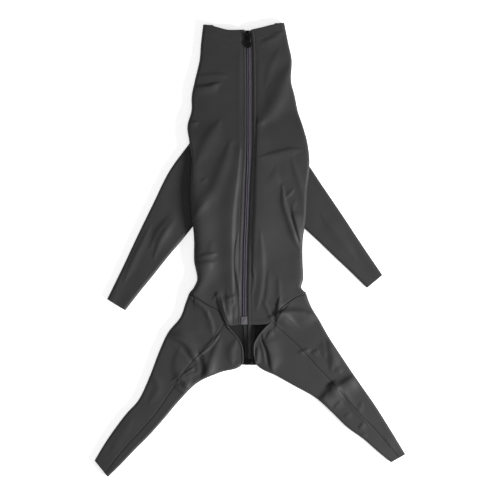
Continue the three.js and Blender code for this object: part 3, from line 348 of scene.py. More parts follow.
SLEEVE_FOLDS = [
    ([(173, 169.5), (184, 167), (195, 169)], 2.2, 5, 2.2),
    ([(186, 200), (171, 214), (158, 228), (149, 243)], -1.6, 5, 5),
    ([(189, 205), (173, 222), (161, 239), (154, 257)], 1.2, 4, 6),
    ([(150, 226), (136, 254), (125, 280)], 0.9, 7, 6),
    ([(339, 208), (352, 230), (361, 247)], -1.0, 5, 5),
    ([(322, 214), (338, 236), (355, 258)], 0.9, 8, 8),
    ([(160, 262), (164, 259)], -0.6, 2, 2),
]


def mix(a, b, t):
    return a + (b - a) * t


def smooth(value):
    held = np.clip(value, 0, 1)
    return held * held * (3 - 2 * held)


def curve(keys, values, where):
    """A smooth curve through the values, read at any place along its keys."""
    keys, values = np.asarray(keys, float), np.asarray(values, float)
    where = np.asarray(where, float)
    last = len(keys) - 1
    a = np.clip(np.searchsorted(keys, where, side="left") - 1, 0, last - 1)
    b, before, after = a + 1, np.maximum(a - 1, 0), np.minimum(a + 2, last)
    span = keys[b] - keys[a]
    t = np.clip((where - keys[a]) / span, 0, 1)
    slope_a = (values[b] - values[before]) / (keys[b] - keys[before]) * span
    slope_b = (values[after] - values[a]) / (keys[after] - keys[a]) * span
    cube = 2 * t**3 - 3 * t**2
    own = (cube + 1) * values[a] - cube * values[b]
    return own + (t**3 - 2 * t**2 + t) * slope_a + (t**3 - t**2) * slope_b


def body(column, at):
    return curve(BODY_AT, BODY[column], at)


# The neck line and the suit's middle in the frame, found from the zip that the frame carries
tape_box, slider_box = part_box("zip_tape_left"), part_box("zip_slider")
NECK_Y = tape_box[1][1] / MM + ZIP_TOP_AT * BACK_LENGTH
MIDDLE_X = (slider_box[0][0] + slider_box[1][0]) / 2 / MM - body("zip", SLIDER_AT) * CHEST_WIDTH / 2


# Body: places seen from above


def zip_x(at):
    return MIDDLE_X + body("zip", at) * CHEST_WIDTH / 2


def edge_x(side, at):
    return MIDDLE_X + side * body(SIDE[side], at) * CHEST_WIDTH / 2


def cloth_x(side, at):
    return zip_x(at) + curve(OPENING_SHIFT_AT, OPENING_SHIFT, at) + side * ZIP_OPENING / 2


def crown_z(at):
    return body("crown", at) * LIE_HEIGHT


def side_held(side, at):
    return np.clip(body(f"{SIDE[side]}_up", at), 0, 1)


def side_up(side, at):
    return side_held(side, at) * (SLEEVE_HEIGHT + WALL / 2 + GAP)


def side_tuck(side, at):
    return SIDE_TUCK + side_held(side, at) * (RIGHT_SLEEVE_TUCK if side == RIGHT else 0)


def body_plan(side, across, at):
    across, at = np.broadcast_arrays(np.asarray(across, float), np.asarray(at, float))
    x = mix(cloth_x(side, at), edge_x(side, at), across)
    return np.stack([x, NECK_Y - at * BACK_LENGTH], axis=-1)


def neck_at(side, across):
    return curve(NECK_ACROSS, NECK[side], across)


def hem_at(side, across):
    return curve(HEM_ACROSS, HEM[side], across)


def hem_plan(side, across):
    return body_plan(side, across, hem_at(side, across))


def unit(vectors):
    return vectors / np.maximum(np.linalg.norm(vectors, axis=-1, keepdims=True), 1e-9)


def hem_point(side, across, distance):
    run = unit(hem_plan(side, across + 0.04) - hem_plan(side, across - 0.04))
    away = np.stack([side * run[..., 1], -side * run[..., 0]], axis=-1)
    return hem_plan(side, across) + away * distance


def lean(side, degrees):
    turn = math.radians(degrees)
    up = np.array([-side * math.sin(turn), math.cos(turn)])
    out = np.array([side * math.cos(turn), math.sin(turn)])
    return up, out


class Leg:
    """One rear leg seen from above: its outer and inner sides, and any place between them."""

    def __init__(self, side):
        self.side, self.table = side, LEG[side]
        self.up, self.out = lean(side, LEG_LEAN)
        top_up, top_out = self.table["outer_up"][-1], self.table["outer"][-1]
        hip = body_plan(side, 1.0, HIP_AT)
        self.cuff = hip - self.up * top_up * LEG_LENGTH - self.out * top_out * LEG_WIDTH
        self.crotch = np.array([
            float(zip_x(1.0)) + CROTCH_SHIFT + side * CROTCH_SPREAD / 2,
            NECK_Y - BACK_LENGTH - CROTCH_DROP,
        ])
        self.shift = self.crotch - self.drawn_inner(np.array(CROTCH_AT))

    def read(self, column, at):
        return curve(LEG_AT, self.table[column], at)

    def place(self, up, out):
        along = np.multiply.outer(up, self.up) * LEG_LENGTH
        return self.cuff + along + np.multiply.outer(out, self.out) * LEG_WIDTH

    def outer(self, at):
        return self.place(self.read("outer_up", at), self.read("outer", at))

    def drawn_inner(self, at):
        return self.place(self.read("inner_up", at), -self.read("inner", at))

    def inner(self, at):
        at = np.asarray(at, float)
        near = np.where(at < CROTCH_AT, at / CROTCH_AT, (1 - at) / (1 - CROTCH_AT))
        return self.drawn_inner(at) + np.multiply.outer(smooth(near), self.shift)

    def plan(self, across, at):
        """Above the crotch the leg is drawn towards the hem, so that its edge lies along the hip seam."""
        across, at = np.broadcast_arrays(np.asarray(across, float), np.asarray(at, float))
        point = mix(self.outer(at), self.inner(at), across[..., None])
        pull = smooth((at - CROTCH_AT) / (1 - CROTCH_AT))
        seam = hem_point(self.side, mix(1, TAIL_CORNER[self.side], across), SEAM_GAP)
        one = np.array(1.0)
        own = mix(self.outer(one), self.inner(one), across[..., None])
        return point + pull[..., None] * (seam - own)

    def height(self, at):
        return mix(LEG_CUFF_HEIGHT, LEG_HEIGHT, self.read("height", at)) - WALL


LEGS = {LEFT: Leg(LEFT), RIGHT: Leg(RIGHT)}


# Folds


def on_grid(points):
    points = np.asarray(points, float)
    return np.stack([(points[:, 0] - 250) * GRID, (250 - points[:, 1]) * GRID], axis=-1)


def softened(points, count=24):
    """The path as a smooth line of many short steps."""
    keys = np.linspace(0, 1, len(points))
    where = np.linspace(0, 1, count)
    return np.stack([curve(keys, points[:, 0], where), curve(keys, points[:, 1], where)], axis=-1)


def fold_height(points, fold):
    path, rise, low_side, high_side = fold
    line = softened(on_grid(path))
    reach = 2.6 * max(low_side, high_side * (LAP_SPREAD if rise < 0 else 1)) + low_side
    near = np.all((points > line.min(0) - reach) & (points < line.max(0) + reach), axis=-1)
    height = np.zeros(points.shape[:-1])
    if not near.any():
        return height
    p = points[near]
    best = np.full(len(p), np.inf)
    along, sided = np.zeros(len(p)), np.zeros(len(p))
    steps = len(line) - 1
    whole = line[-1] - line[0]
    normal = np.array([whole[1], -whole[0]]) / np.linalg.norm(whole)
    if normal @ np.array([1, 0.45]) < 0:
        normal = -normal
    for i in range(steps):
        run = line[i + 1] - line[i]
        t = np.clip(((p - line[i]) @ run) / (run @ run), 0, 1)
        off = p - line[i] - t[:, None] * run
        far = np.einsum("ij,ij->i", off, off)
        closer = far < best
        best[closer] = far[closer]
        along[closer] = (i + t[closer]) / steps
        sided[closer] = (off @ normal)[closer]
    ends = np.sqrt(smooth(np.minimum(along, 1 - along) / 0.3) * 0.85 + 0.15)
    if rise < 0:
        crest = sided - LAP_SHIFT * low_side
        best = best - sided**2 + crest**2
        sided, rise, high_side = crest, -rise * LAP_GAIN, high_side * LAP_SPREAD
    width = np.where(sided > 0, high_side, low_side)
    height[near] = FOLD_GAIN * rise * ends * np.exp(-best / (width * ends) ** 2)
    return height


def ripple(points):
    """The faint unevenness of cloth that has been smoothed out by hand."""
    x, y = points[..., 0], points[..., 1]
    wave = np.sin(x / 11 + np.sin(y / 17)) * np.sin(y / 23 + 1.3 * np.sin(x / 29))
    wave = wave + 0.6 * np.sin(x / 6.3 - y / 14 + 2) * np.sin(y / 9.5 + x / 31)
    return RIPPLE * wave


def relief(points, folds):
    return sum((fold_height(points, fold) for fold in folds), ripple(points))


def body_top(side, points, relief_at):
    """Height of the body's upper layer over each point, from the folded side up to the zip."""
    at = (NECK_Y - points[..., 1]) / BACK_LENGTH
    inner = cloth_x(side, at)
    across = np.clip((points[..., 0] - inner) / (edge_x(side, at) - inner), 0, 1)
    edge = WALL / 2 + side_up(side, at) + body("side", at) * SIDE_HEIGHT
    from_zip = np.abs(points[..., 0] - inner)
    over_tape = smooth((from_zip - TAPE_WIDTH + WALL) / TAPE_WIDTH)
    raised = smooth(from_zip / 4.5)
    fade = np.where(relief_at < 0, over_tape, raised) * (1 - across**14)
    edge = mix(edge, crown_z(at), EDGE_LIFT)
    height = mix(edge, crown_z(at), 1 - across**DOME_POWER) + relief_at * fade
    stitched = np.exp(-(((from_zip - ZIP_STITCH) / 0.8) ** 2))
    rolled = smooth(1 - from_zip / 1.6)
    puffed = np.exp(-(((from_zip - ZIP_STITCH / 2) / 1.1) ** 2))
    return height - STITCH_GROOVE * stitched - EDGE_ROLL * rolled + EDGE_PUFF * puffed


def folded_top(side, points):
    return body_top(side, points, relief(points, TOP_FOLDS))


# Sheets of cloth


def cloth_mesh(name, grid, thickness=WALL, closed=False, keep=None):
    """A wall with rounded rims round a grid of points on its middle, and a map of it in millimetres."""
    rows, columns = grid.shape[:2]
    middle = grid.reshape(-1, 3)
    count = len(middle)
    strips = columns if closed else columns - 1
    r, c = np.meshgrid(np.arange(rows - 1), np.arange(strips), indexing="ij")
    r, c = r.ravel(), c.ravel()
    if keep is not None:
        kept = keep(r, c)
        r, c = r[kept], c[kept]
    right = (c + 1) % columns
    first, second = r * columns, (r + 1) * columns
    quads = np.stack([first + c, first + right, second + right, second + c], 1)
    corners = [middle[quads[:, k]] for k in range(4)]
    face = np.cross(corners[2] - corners[0], corners[3] - corners[1])
    normals = np.zeros((count, 3))
    for k in range(4):
        np.add.at(normals, quads[:, k], face)
    volume = np.einsum("ij,ij->i", face, corners[0] - middle[quads].mean(axis=(0, 1))).sum()
    if (volume if closed else normals[:, 2].sum()) < 0:
        quads, normals = quads[:, ::-1], -normals
    normals = unit(normals)
    half = thickness / 2
    layers = [middle + normals * half, middle - normals * half]
    faces = [quads, quads[:, ::-1] + count]
    start, end = quads.ravel(), np.roll(quads, -1, axis=1).ravel()
    rim = ~np.isin(end * count + start, start * count + end)
    start, end = start[rim], end[rim]
    run = middle[end] - middle[start]
    outward = np.zeros((count, 3))
    for ends in (start, end):
        np.add.at(outward, ends, unit(np.cross(run, normals[ends])))
    rim_points = np.unique(start)
    place = np.full(count, -1)
    place[rim_points] = np.arange(len(rim_points))
    rings = [np.arange(count)]
    total = 2 * count
    for angle in (45, 90, 135):
        a = math.radians(angle)
        points = middle + half * (math.cos(a) * normals + math.sin(a) * unit(outward))
        layers.append(points[rim_points])
        rings.append(total + place)
        total += len(rim_points)
    rings.append(np.arange(count) + count)
    for upper, lower in zip(rings, rings[1:]):
        faces.append(np.stack([upper[end], upper[start], lower[start], lower[end]], 1))
    u, v = np.zeros((2, rows, columns))
    u[:, 1:] = np.cumsum(np.linalg.norm(np.diff(grid, axis=1), axis=2), axis=1)
    v[1:] = np.cumsum(np.linalg.norm(np.diff(grid, axis=0), axis=2), axis=0)
    flat = np.stack([u.ravel(), v.ravel()], 1)
    uv = np.concatenate([flat, flat] + [flat[rim_points]] * 3)
    return build(name, np.concatenate(layers), np.concatenate(faces), uv)


def linked(name, data):
    """A new object at the origin of the scene."""
    piece = bpy.data.objects.new(name, data)
    bpy.context.collection.objects.link(piece)
    return piece


def shade_smooth(mesh):
    mesh.polygons.foreach_set("use_smooth", [True] * len(mesh.polygons))
    mesh.update()


def faced_outwards(mesh, weld=False):
    """Turns the faces outwards, after merging doubled points where it is asked to."""
    work = bmesh.new()
    work.from_mesh(mesh)
    if weld:
        bmesh.ops.remove_doubles(work, verts=work.verts, dist=1e-6)
    bmesh.ops.recalc_face_normals(work, faces=work.faces)
    work.to_mesh(mesh)
    work.free()


def build(name, points, faces, uv=None):
    """A mesh object from millimetre points, with points that no face uses left out."""
    faces = [list(map(int, face)) for face in faces]
    used = np.unique(np.concatenate([np.asarray(face) for face in faces]))
    place = np.full(len(points), -1)
    place[used] = np.arange(len(used))
    faces = [[int(place[i]) for i in face] for face in faces]
    mesh = bpy.data.meshes.new(name)
    mesh.from_pydata((np.asarray(points)[used] * MM).tolist(), [], faces)
    if uv is not None:
        layer = mesh.uv_layers.new(name="cloth")
        loops = np.zeros(len(mesh.loops), dtype=np.int32)
        mesh.loops.foreach_get("vertex_index", loops)
        layer.data.foreach_set("uv", np.asarray(uv)[used][loops].ravel().astype(np.float32))
    shade_smooth(mesh)
    return linked(name, mesh)


def plain_mesh(source, name, place=Matrix()):
    """The finished mesh of a curve or of an object with modifiers, as a piece in its own place."""
    bpy.context.view_layer.update()
    graph = bpy.context.evaluated_depsgraph_get()
    mesh = bpy.data.meshes.new_from_object(source.evaluated_get(graph))
    bpy.data.objects.remove(source)
    faced_outwards(mesh, weld=True)
    mesh.transform(place)
    mesh.name = name
    return linked(name, mesh)


def plate(name, rings, thickness, edge, place, turn=Matrix(), steps=3):
    """A plate or flat sheet with holes: its edges are rounded in steps, and it is turned, then placed."""
    data = bpy.data.curves.new(name, "CURVE")
    data.dimensions, data.fill_mode = "2D", "BOTH"
    for ring in rings:
        spline = data.splines.new("POLY")
        spline.points.add(len(ring) - 1)
        for point, (x, y) in zip(spline.points, ring):
            point.co = (x * MM, y * MM, 0, 1)
        spline.use_cyclic_u = True
    data.extrude = (thickness / 2 - edge) * MM
    data.bevel_depth, data.bevel_resolution, data.offset = edge * MM, steps, -edge * MM
    return plain_mesh(linked(name, data), name, Matrix.Translation(Vector(place) * MM) @ turn)


def circle(x, y, radius, count=36, start=0.0, sweep=2 * math.pi):
    angles = start + np.linspace(0, sweep, count, endpoint=sweep < 2 * math.pi)
    return [(x + radius * math.cos(a), y + radius * math.sin(a)) for a in angles]


def rounded(points, radius, count=5):
    """A polygon with its corners rounded."""
    points = [np.array(p, float) for p in points]
    made = []
    for i, corner in enumerate(points):
        ways = [points[i - 1] - corner, points[(i + 1) % len(points)] - corner]
        a, b = (corner + unit(way) * min(radius, np.linalg.norm(way) / 2) for way in ways)
        for t in np.linspace(0, 1, count):
            made.append(tuple((1 - t) ** 2 * a + 2 * t * (1 - t) * corner + t**2 * b))
    return made


def bar(half, start, end, radius):
    """A straight bar's outline with rounded corners."""
    return rounded([(-half, start), (half, start), (half, end), (-half, end)], radius)


def joined(name, pieces):
    """Closed forms that touch or cross, as one piece."""
    mesh = bpy.data.meshes.new(name)
    work = bmesh.new()
    for piece in pieces:
        work.from_mesh(piece.data)
        bpy.data.objects.remove(piece)
    work.to_mesh(mesh)
    work.free()
    return linked(name, mesh)


def with_height(plan, z):
    z = np.broadcast_to(z, plan.shape[:-1])
    return np.concatenate([plan, z[..., None]], axis=-1)


def arc(start, out, bulge, top, bottom, count=7):
    """Half a round fold from the upper layer down to the lower one. Arrays of one row each."""
    bulge = np.asarray(bulge, float)[..., None]
    rows = []
    for angle in np.linspace(0, math.pi, count + 2)[1:-1]:
        plan = start + out * bulge * math.sin(angle)
        rows.append(with_height(plan, mix(bottom, top, (1 + math.cos(angle)) / 2)))
    return rows


def beside(grid, lines):
    """The grid with more lines of points at its far side."""
    return np.concatenate([grid, np.stack(lines, axis=1)], axis=1)


def hem_groove(distance, depth):
    """A hem: doubled cloth that stands proud, ending in a stitched groove."""
    groove = np.exp(-(((distance - depth) / 0.9) ** 2))
    doubled = smooth((depth - distance) / 1.5)
    return HEM_STAND * doubled - HEM_GROOVE * groove


def back_panel(side):
    rows, fine, coarse = 301, 15, 49
    margin = 0.14
    row = np.linspace(0, 1, rows)[:, None]
    across = np.concatenate([np.linspace(0, margin, fine), np.linspace(margin, 1, coarse)[1:]])[None, :]
    top_at, end_at = neck_at(side, across), hem_at(side, across)
    at = mix(top_at, end_at, row)
    plan = body_plan(side, np.broadcast_to(across, at.shape), at)
    plan[..., 0] -= side * SIDE_BULGE * across
    height = folded_top(side, plan) + hem_groove((at - top_at) * BACK_LENGTH, NECK_HEM)
    tail = smooth((TAIL_CORNER[side] - across) / 0.08)
    height = height + hem_groove((end_at - at) * BACK_LENGTH, TAIL_HEM) * tail
    top = with_height(plan, height)
    edge = plan[:, -1]
    edge_at = (NECK_Y - edge[:, 1]) / BACK_LENGTH
    under = WALL / 2 + side_up(side, edge_at)
    out = np.broadcast_to(np.array([side, 0.0]), edge.shape)
    fold = arc(edge, out, SIDE_BULGE, height[:, -1], under)
    tuck = side_tuck(side, edge_at) - SIDE_BULGE
    low = [with_height(edge - out * (tuck * t)[:, None], under) for t in np.linspace(0, 1, 7)]
    return cloth_mesh(f"suit_back_{SIDE[side]}", beside(top, fold + low))


class Sleeve:
    """One front sleeve seen from above: its two sides and its height."""

    def __init__(self, side):
        self.up, self.out = lean(side, SLEEVE_LEAN[side])
        self.half = SLEEVE_WIDTH / 2 * (1 if side == LEFT else RIGHT_SLEEVE_SLIM)
        top = body_plan(side, 1.0, ARMHOLE_TOP[side])
        down = self.up * (SLEEVE_HIDDEN[side] - SLEEVE_OUTSEAM)
        self.cuff = top + down - self.out * SLEEVE["outer"][-1] * self.half

    def side_line(self, column, length, way, at):
        out = way * curve(SLEEVE_AT, SLEEVE[column], at) * self.half
        return self.cuff + np.multiply.outer(at * length, self.up) + np.multiply.outer(out, self.out)

    def sides(self, at):
        inner = self.side_line("inner", SLEEVE_INSEAM, -1, at)
        return self.side_line("outer", SLEEVE_OUTSEAM, 1, at), inner

    def height(self, at):
        return mix(SLEEVE_CUFF_HEIGHT, SLEEVE_HEIGHT, curve(SLEEVE_AT, SLEEVE["height"], at)) - WALL


SLEEVES = {LEFT: Sleeve(LEFT), RIGHT: Sleeve(RIGHT)}


def sleeve_tube(side):
    sleeve = SLEEVES[side]
    at = np.linspace(0, 1, 150)
    outer, inner = sleeve.sides(at)
    height = sleeve.height(at)
    out = unit(inner - outer)
    bulge = height / 2
    start, end = outer + out * bulge[:, None], inner - out * bulge[:, None]
    low, high = WALL / 2, WALL / 2 + height
    t = np.linspace(0, 1, TOP_COLUMNS)
    top = start[:, None] + (end - start)[:, None] * t[None, :, None]
    inside = smooth(np.minimum(t, 1 - t) / 0.2)[None, :]
    below_body = 1 - smooth((at - 0.62) / 0.2)[:, None]
    folds = relief(top, SLEEVE_FOLDS)
    folds = np.where(folds > 0, folds * below_body, folds)
    sag = SLEEVE_SAG * (1 - smooth(at / 0.5))[:, None] * np.sin(math.pi * t)[None, :] ** 2
    crown = high[:, None] + folds * inside - sag
    top = with_height(top, crown)
    bottom = [with_height(mix(end, start, s), low) for s in np.linspace(0, 1, 16)]
    rings = arc(end, out, bulge, crown[:, -1], low) + bottom + arc(start, -out, bulge, low, crown[:, 0])
    return cloth_mesh(f"suit_sleeve_{SIDE[side]}", beside(top, rings), closed=True)


def leg_width(leg, at, near=0.0, far=1.0):
    return np.linalg.norm(leg.plan(far, at) - leg.plan(near, at), axis=-1)


def leg_top(leg, across, at):
    """Points on the upper layer of a leg, sinking a little at the seam between its two panels."""
    plan = leg.plan(across, at)
    across, at = np.broadcast_arrays(np.asarray(across, float), np.asarray(at, float))
    folds = relief(plan, TOP_FOLDS)
    near_outer = 1 - (1 - np.clip(across * 3, 0, 1)) ** 8
    near_inner = np.where(at < CROTCH_AT, 1 - (1 - np.clip((1 - across) * 3, 0, 1)) ** 8, 1)
    own = WALL / 2 + leg.height(at) + folds * near_outer * near_inner * smooth(at * 8)
    shared = body_top(leg.side, plan, folds)
    height = mix(own, shared, smooth((at - CROTCH_AT) / (1 - CROTCH_AT)))
    from_seam = (across - leg.read("seam", at)) * leg_width(leg, at)
    sunk = LEG_SEAM_SINK * np.exp(-np.abs(from_seam / 1.1) ** 1.6) * smooth((1 - at) / 0.15)
    return with_height(plan, np.maximum(height - sunk, LEG_LEAST_HEIGHT))


def beside_seam(leg, seam, at):
    """Half the gap between two panels that meet at a seam, as a share of the leg's width there."""
    return PANEL_GAP / 2 * 0.04 / leg_width(leg, at, seam - 0.02, seam + 0.02)


def leg_outer_panel(leg):
    at = np.linspace(0, 1, LEG_ROWS + 1)
    seam = leg.read("seam", at)
    bulge = leg.height(at) / 3
    first = bulge / leg_width(leg, at)
    t = np.linspace(0, 1, TOP_COLUMNS)
    across = mix((seam - beside_seam(leg, seam, at))[:, None], first[:, None], t[None, :])
    top = leg_top(leg, across, at[:, None])
    edge = leg.plan(first, at)
    out = unit(leg.plan(0.0, at) - edge)
    under = UNDER_SEAM - beside_seam(leg, UNDER_SEAM, at)
    low = [with_height(leg.plan(mix(first, under, s), at), WALL / 2)
           for s in np.linspace(0, 1, LOW_COLUMNS)]
    rings = arc(edge, out, bulge, top[:, -1, 2], WALL / 2)
    return cloth_mesh(f"suit_leg_{SIDE[leg.side]}_outer", beside(top, rings + low))


def tongue_point(leg, at):
    """The rim of the leg's lower layer above the crotch, along the belly panel's tongue."""
    t = np.clip((at - CROTCH_AT) / (1 - CROTCH_AT), 0, 1)
    hem = hem_point(leg.side, TAIL_CORNER[leg.side] + TONGUE_CORNER, 0.4)
    return leg.crotch + np.multiply.outer(t, hem - leg.crotch)


def leg_inner_panel(leg):
    at = np.linspace(0, 1, LEG_ROWS + 1)
    seam = leg.read("seam", at)
    bulge = leg.height(at) / 3
    folded = np.arange(LEG_ROWS + 1) <= CROTCH_ROW
    last = np.where(folded, 1 - bulge / leg_width(leg, at), 1)
    t = np.linspace(0, 1, TOP_COLUMNS)
    across = mix((seam + beside_seam(leg, seam, at))[:, None], last[:, None], t[None, :])
    top = leg_top(leg, across, at[:, None])
    edge = leg.plan(last, at)
    out = unit(leg.plan(1.0, at) - leg.plan(0.0, at))
    under = leg.plan(UNDER_SEAM + beside_seam(leg, UNDER_SEAM, at), at)
    rim = np.where(folded[:, None], edge, tongue_point(leg, at))
    low = [with_height(mix(rim, under, s), WALL / 2) for s in np.linspace(0, 1, LOW_COLUMNS)]
    rings = arc(edge, out, bulge, top[:, -1, 2], WALL / 2)
    first_fold, last_fold = len(t) - 1, len(t) + len(rings) - 1

    def keep(row, column):
        """Above the crotch the side is open, so the fold is left out there."""
        return (row < CROTCH_ROW) | (column < first_fold) | (column > last_fold)

    return cloth_mesh(f"suit_leg_{SIDE[leg.side]}_inner", beside(top, rings + low), keep=keep)


# Belly panel and belly zip's place

BELLY_X = float(zip_x(1.0)) + CROTCH_SHIFT
BELLY_Y = NECK_Y - BACK_LENGTH - CROTCH_DROP


def side_seam(side, start, end, count):
    at = np.linspace(start, end, count)
    x = edge_x(side, at) - side * (side_tuck(side, at) + GAP)
    return np.stack([x, NECK_Y - at * BACK_LENGTH], axis=-1)


def belly_outline(side):
    """The panel's outline from the neck down one side to the crotch."""
    neck_across = np.linspace(0, 0.7, 10)
    neck = body_plan(side, neck_across, neck_at(side, neck_across))
    outer, inner = SLEEVES[side].sides(np.array([1.0]))
    armhole = np.concatenate([outer, inner]) - np.array([side * GAP * 2, 0])
    seam = side_seam(side, 0.71, HIP_AT, 12)
    hem = hem_plan(side, np.linspace(1, TAIL_CORNER[side] + TONGUE_CORNER, 12))
    hem = hem[side * (seam[-1, 0] - hem[:, 0]) > 0]
    tongue = tongue_point(LEGS[side], np.linspace(1, CROTCH_AT, 8)) - np.array([side * (GAP + WALL), 0])
    chest = side_seam(side, 0.003, ARMHOLE_FROM[side], 20)
    return np.concatenate([neck, chest, armhole, seam, hem, tongue])


def belly_sheet():
    left, right = BELLY_X - BELLY_SLOT / 2, BELLY_X + BELLY_SLOT / 2
    top = BELLY_Y + BELLY_ZIP_LENGTH
    slot = np.array([[right, BELLY_Y], [right, top], [left, top], [left, BELLY_Y]])
    ring = np.concatenate([belly_outline(RIGHT), slot, belly_outline(LEFT)[::-1]])
    return plate("suit_belly", [ring], WALL, CLOTH_EDGE, (0, 0, WALL / 2), steps=2)


# Rolled rims of the tail opening


def tube(name, line, radius, sides=10):
    """A round roll along a line of points, closed at both ends."""
    line = np.asarray(line, float)
    run = unit(np.gradient(line, axis=0))
    across = unit(np.cross(run, np.array([0, 0, 1.0])))
    up = np.cross(across, run)
    angles = np.linspace(0, 2 * math.pi, sides, endpoint=False)
    cos, sin = (turn(angles)[None, :, None] for turn in (np.cos, np.sin))
    ring = cos * across[:, None] + sin * up[:, None]
    taper = np.ones(len(line))
    taper[0] = taper[-1] = TUBE_END
    points = (line[:, None] + radius * taper[:, None, None] * ring).reshape(-1, 3)
    faces = []
    for r in range(len(line) - 1):
        for s in range(sides):
            a, b = r * sides + s, r * sides + (s + 1) % sides
            faces.append([a, b, b + sides, a + sides])
    faces.append(list(range(sides))[::-1])
    faces.append([(len(line) - 1) * sides + s for s in range(sides)])
    piece = build(name, points, faces)
    faced_outwards(piece.data)
    return piece


def tail_rim(leg):
    at = np.linspace(CROTCH_AT + 0.004, 0.992, 46)
    line = leg_top(leg, 1.0, at)
    line[:, 2] += BINDING_LIFT
    return tube(f"suit_tail_rim_{SIDE[leg.side]}", line, BINDING_WIDTH / 2)


# Finishes


def node(tree, kind, values=(), **settings):
    """A node with its settings. A value that is another node's socket is linked, any other is set."""
    made = tree.nodes.new(kind)
    for key, value in settings.items():
        setattr(made, key, value)
    for socket, value in dict(values).items():
        if isinstance(value, bpy.types.NodeSocket):
            tree.links.new(value, made.inputs[socket])
        else:
            made.inputs[socket].default_value = value
    return made


def node_group(name, kind, inputs, outputs):
    """An empty group, with the sockets that its nodes read and those that they fill."""
    tree = bpy.data.node_groups.new(name, kind)
    for label, socket, *value in inputs:
        made = tree.interface.new_socket(label, in_out="INPUT", socket_type=f"NodeSocket{socket}")
        if value:
            made.default_value = value[0]
    for label, socket in outputs:
        tree.interface.new_socket(label, in_out="OUTPUT", socket_type=f"NodeSocket{socket}")
    return tree, tree.nodes.new("NodeGroupInput").outputs, tree.nodes.new("NodeGroupOutput").inputs


def maths(tree, kind, *values):
    return node(tree, "ShaderNodeMath", enumerate(values), operation=kind).outputs[0]


def knit_group():
    """Jersey: fine wales with small leaning stitches, and the slight cloudiness of dyed stretch cloth."""
    tree, given, made = node_group(
        "jersey_knit", "ShaderNodeTree",
        [("Map", "Vector"), ("Wale Width", "Float", 0.62), ("Course Height", "Float", 0.48),
         ("Cloud Size", "Float", 30.0), ("Cloud", "Float", 0.1)],
        [("Height", "Float"), ("Shade", "Float")])
    split = node(tree, "ShaderNodeSeparateXYZ", {0: given["Map"]}).outputs
    wale = maths(tree, "DIVIDE", split[0], given["Wale Width"])
    course = maths(tree, "DIVIDE", split[1], given["Course Height"])
    centred = maths(tree, "SUBTRACT", maths(tree, "FRACT", wale), 0.5)
    leaning = maths(tree, "ADD", course, maths(tree, "ABSOLUTE", centred))

    def waves(value):
        return maths(tree, "ABSOLUTE", maths(tree, "SINE", maths(tree, "MULTIPLY", value, math.pi)))

    def blend(a, share_a, b, share_b):
        return maths(tree, "ADD", maths(tree, "MULTIPLY", a, share_a), maths(tree, "MULTIPLY", b, share_b))

    tree.links.new(blend(waves(wale), 0.65, waves(leaning), 0.35), made["Height"])
    cloud = node(tree, "ShaderNodeTexNoise", {
        "Vector": given["Map"], "Scale": maths(tree, "DIVIDE", 1.0, given["Cloud Size"]), "Detail": 3})
    fleck = node(tree, "ShaderNodeTexNoise", {"Vector": given["Map"], "Scale": 0.9, "Detail": 2})
    uneven = maths(tree, "SUBTRACT", blend(cloud.outputs["Fac"], 0.65, fleck.outputs["Fac"], 0.35), 0.5)
    tree.links.new(maths(tree, "ADD", 1.0, maths(tree, "MULTIPLY", uneven, given["Cloud"])), made["Shade"])
    return tree


def grain_group():
    """Fine unevenness of moulded or lacquered surfaces, on object coordinates."""
    tree, given, made = node_group(
        "fine_grain", "ShaderNodeTree", [("Grain Size", "Float", 0.4), ("Wear", "Float", 0.15)],
        [("Height", "Float"), ("Rough", "Float")])
    place = node(tree, "ShaderNodeTexCoord").outputs["Object"]
    per_metre = maths(tree, "DIVIDE", 1 / MM, given["Grain Size"])
    fine = node(tree, "ShaderNodeTexNoise", {"Vector": place, "Scale": per_metre, "Detail": 3})
    broad = node(tree, "ShaderNodeTexNoise", {"Vector": place, "Scale": 260})
    tree.links.new(fine.outputs["Fac"], made["Height"])
    tree.links.new(maths(tree, "MULTIPLY", broad.outputs["Fac"], given["Wear"]), made["Rough"])
    return tree


KNIT, GRAIN = knit_group(), grain_group()

# Strength of the bump, and its depth in millimetres
KNIT_BUMP, WEAVE_BUMP, GRAIN_BUMP = (0.35, 0.05), (0.5, 0.08), (0.25, 0.03)


def finish(name, colour, roughness, **sockets):
    material = bpy.data.materials.new(name)
    material.use_nodes = True
    shader = material.node_tree.nodes["Principled BSDF"]
    shader.inputs["Base Color"].default_value = (*colour, 1)
    shader.inputs["Roughness"].default_value = roughness
    for socket, value in sockets.items():
        shader.inputs[socket.replace("_", " ")].default_value = value
    return material, material.node_tree, shader


def bumped(tree, shader, height, strength, depth):
    values = {"Strength": strength, "Distance": depth * MM, "Height": height}
    tree.links.new(node(tree, "ShaderNodeBump", values).outputs["Normal"], shader.inputs["Normal"])


def threaded(name, colour, roughness, cells, bump, mapped=False, **sockets):
    """Knitted or woven cloth, on the sheet's own map or on object coordinates, both in millimetres."""
    material, tree, shader = finish(name, colour, roughness, **sockets)
    if mapped:
        place = node(tree, "ShaderNodeUVMap", uv_map="cloth").outputs[0]
    else:
        place = node(tree, "ShaderNodeTexCoord").outputs["Object"]
        place = node(tree, "ShaderNodeMapping", {"Vector": place, "Scale": (1 / MM,) * 3}).outputs[0]
    knit = node(tree, "ShaderNodeGroup", {"Map": place, **cells}, node_tree=KNIT).outputs
    tint = node(tree, "ShaderNodeMix", {"Factor": 1, "A": (*colour, 1), "B": knit["Shade"]},
                data_type="RGBA", blend_type="MULTIPLY")
    tree.links.new(tint.outputs["Result"], shader.inputs["Base Color"])
    bumped(tree, shader, knit["Height"], *bump)
    return material


def knitted(name, colour, roughness, **sockets):
    cells = {"Wale Width": 0.62, "Course Height": 0.48, "Cloud": 0.22}
    return threaded(name, colour, roughness, cells, KNIT_BUMP, mapped=True, **sockets)


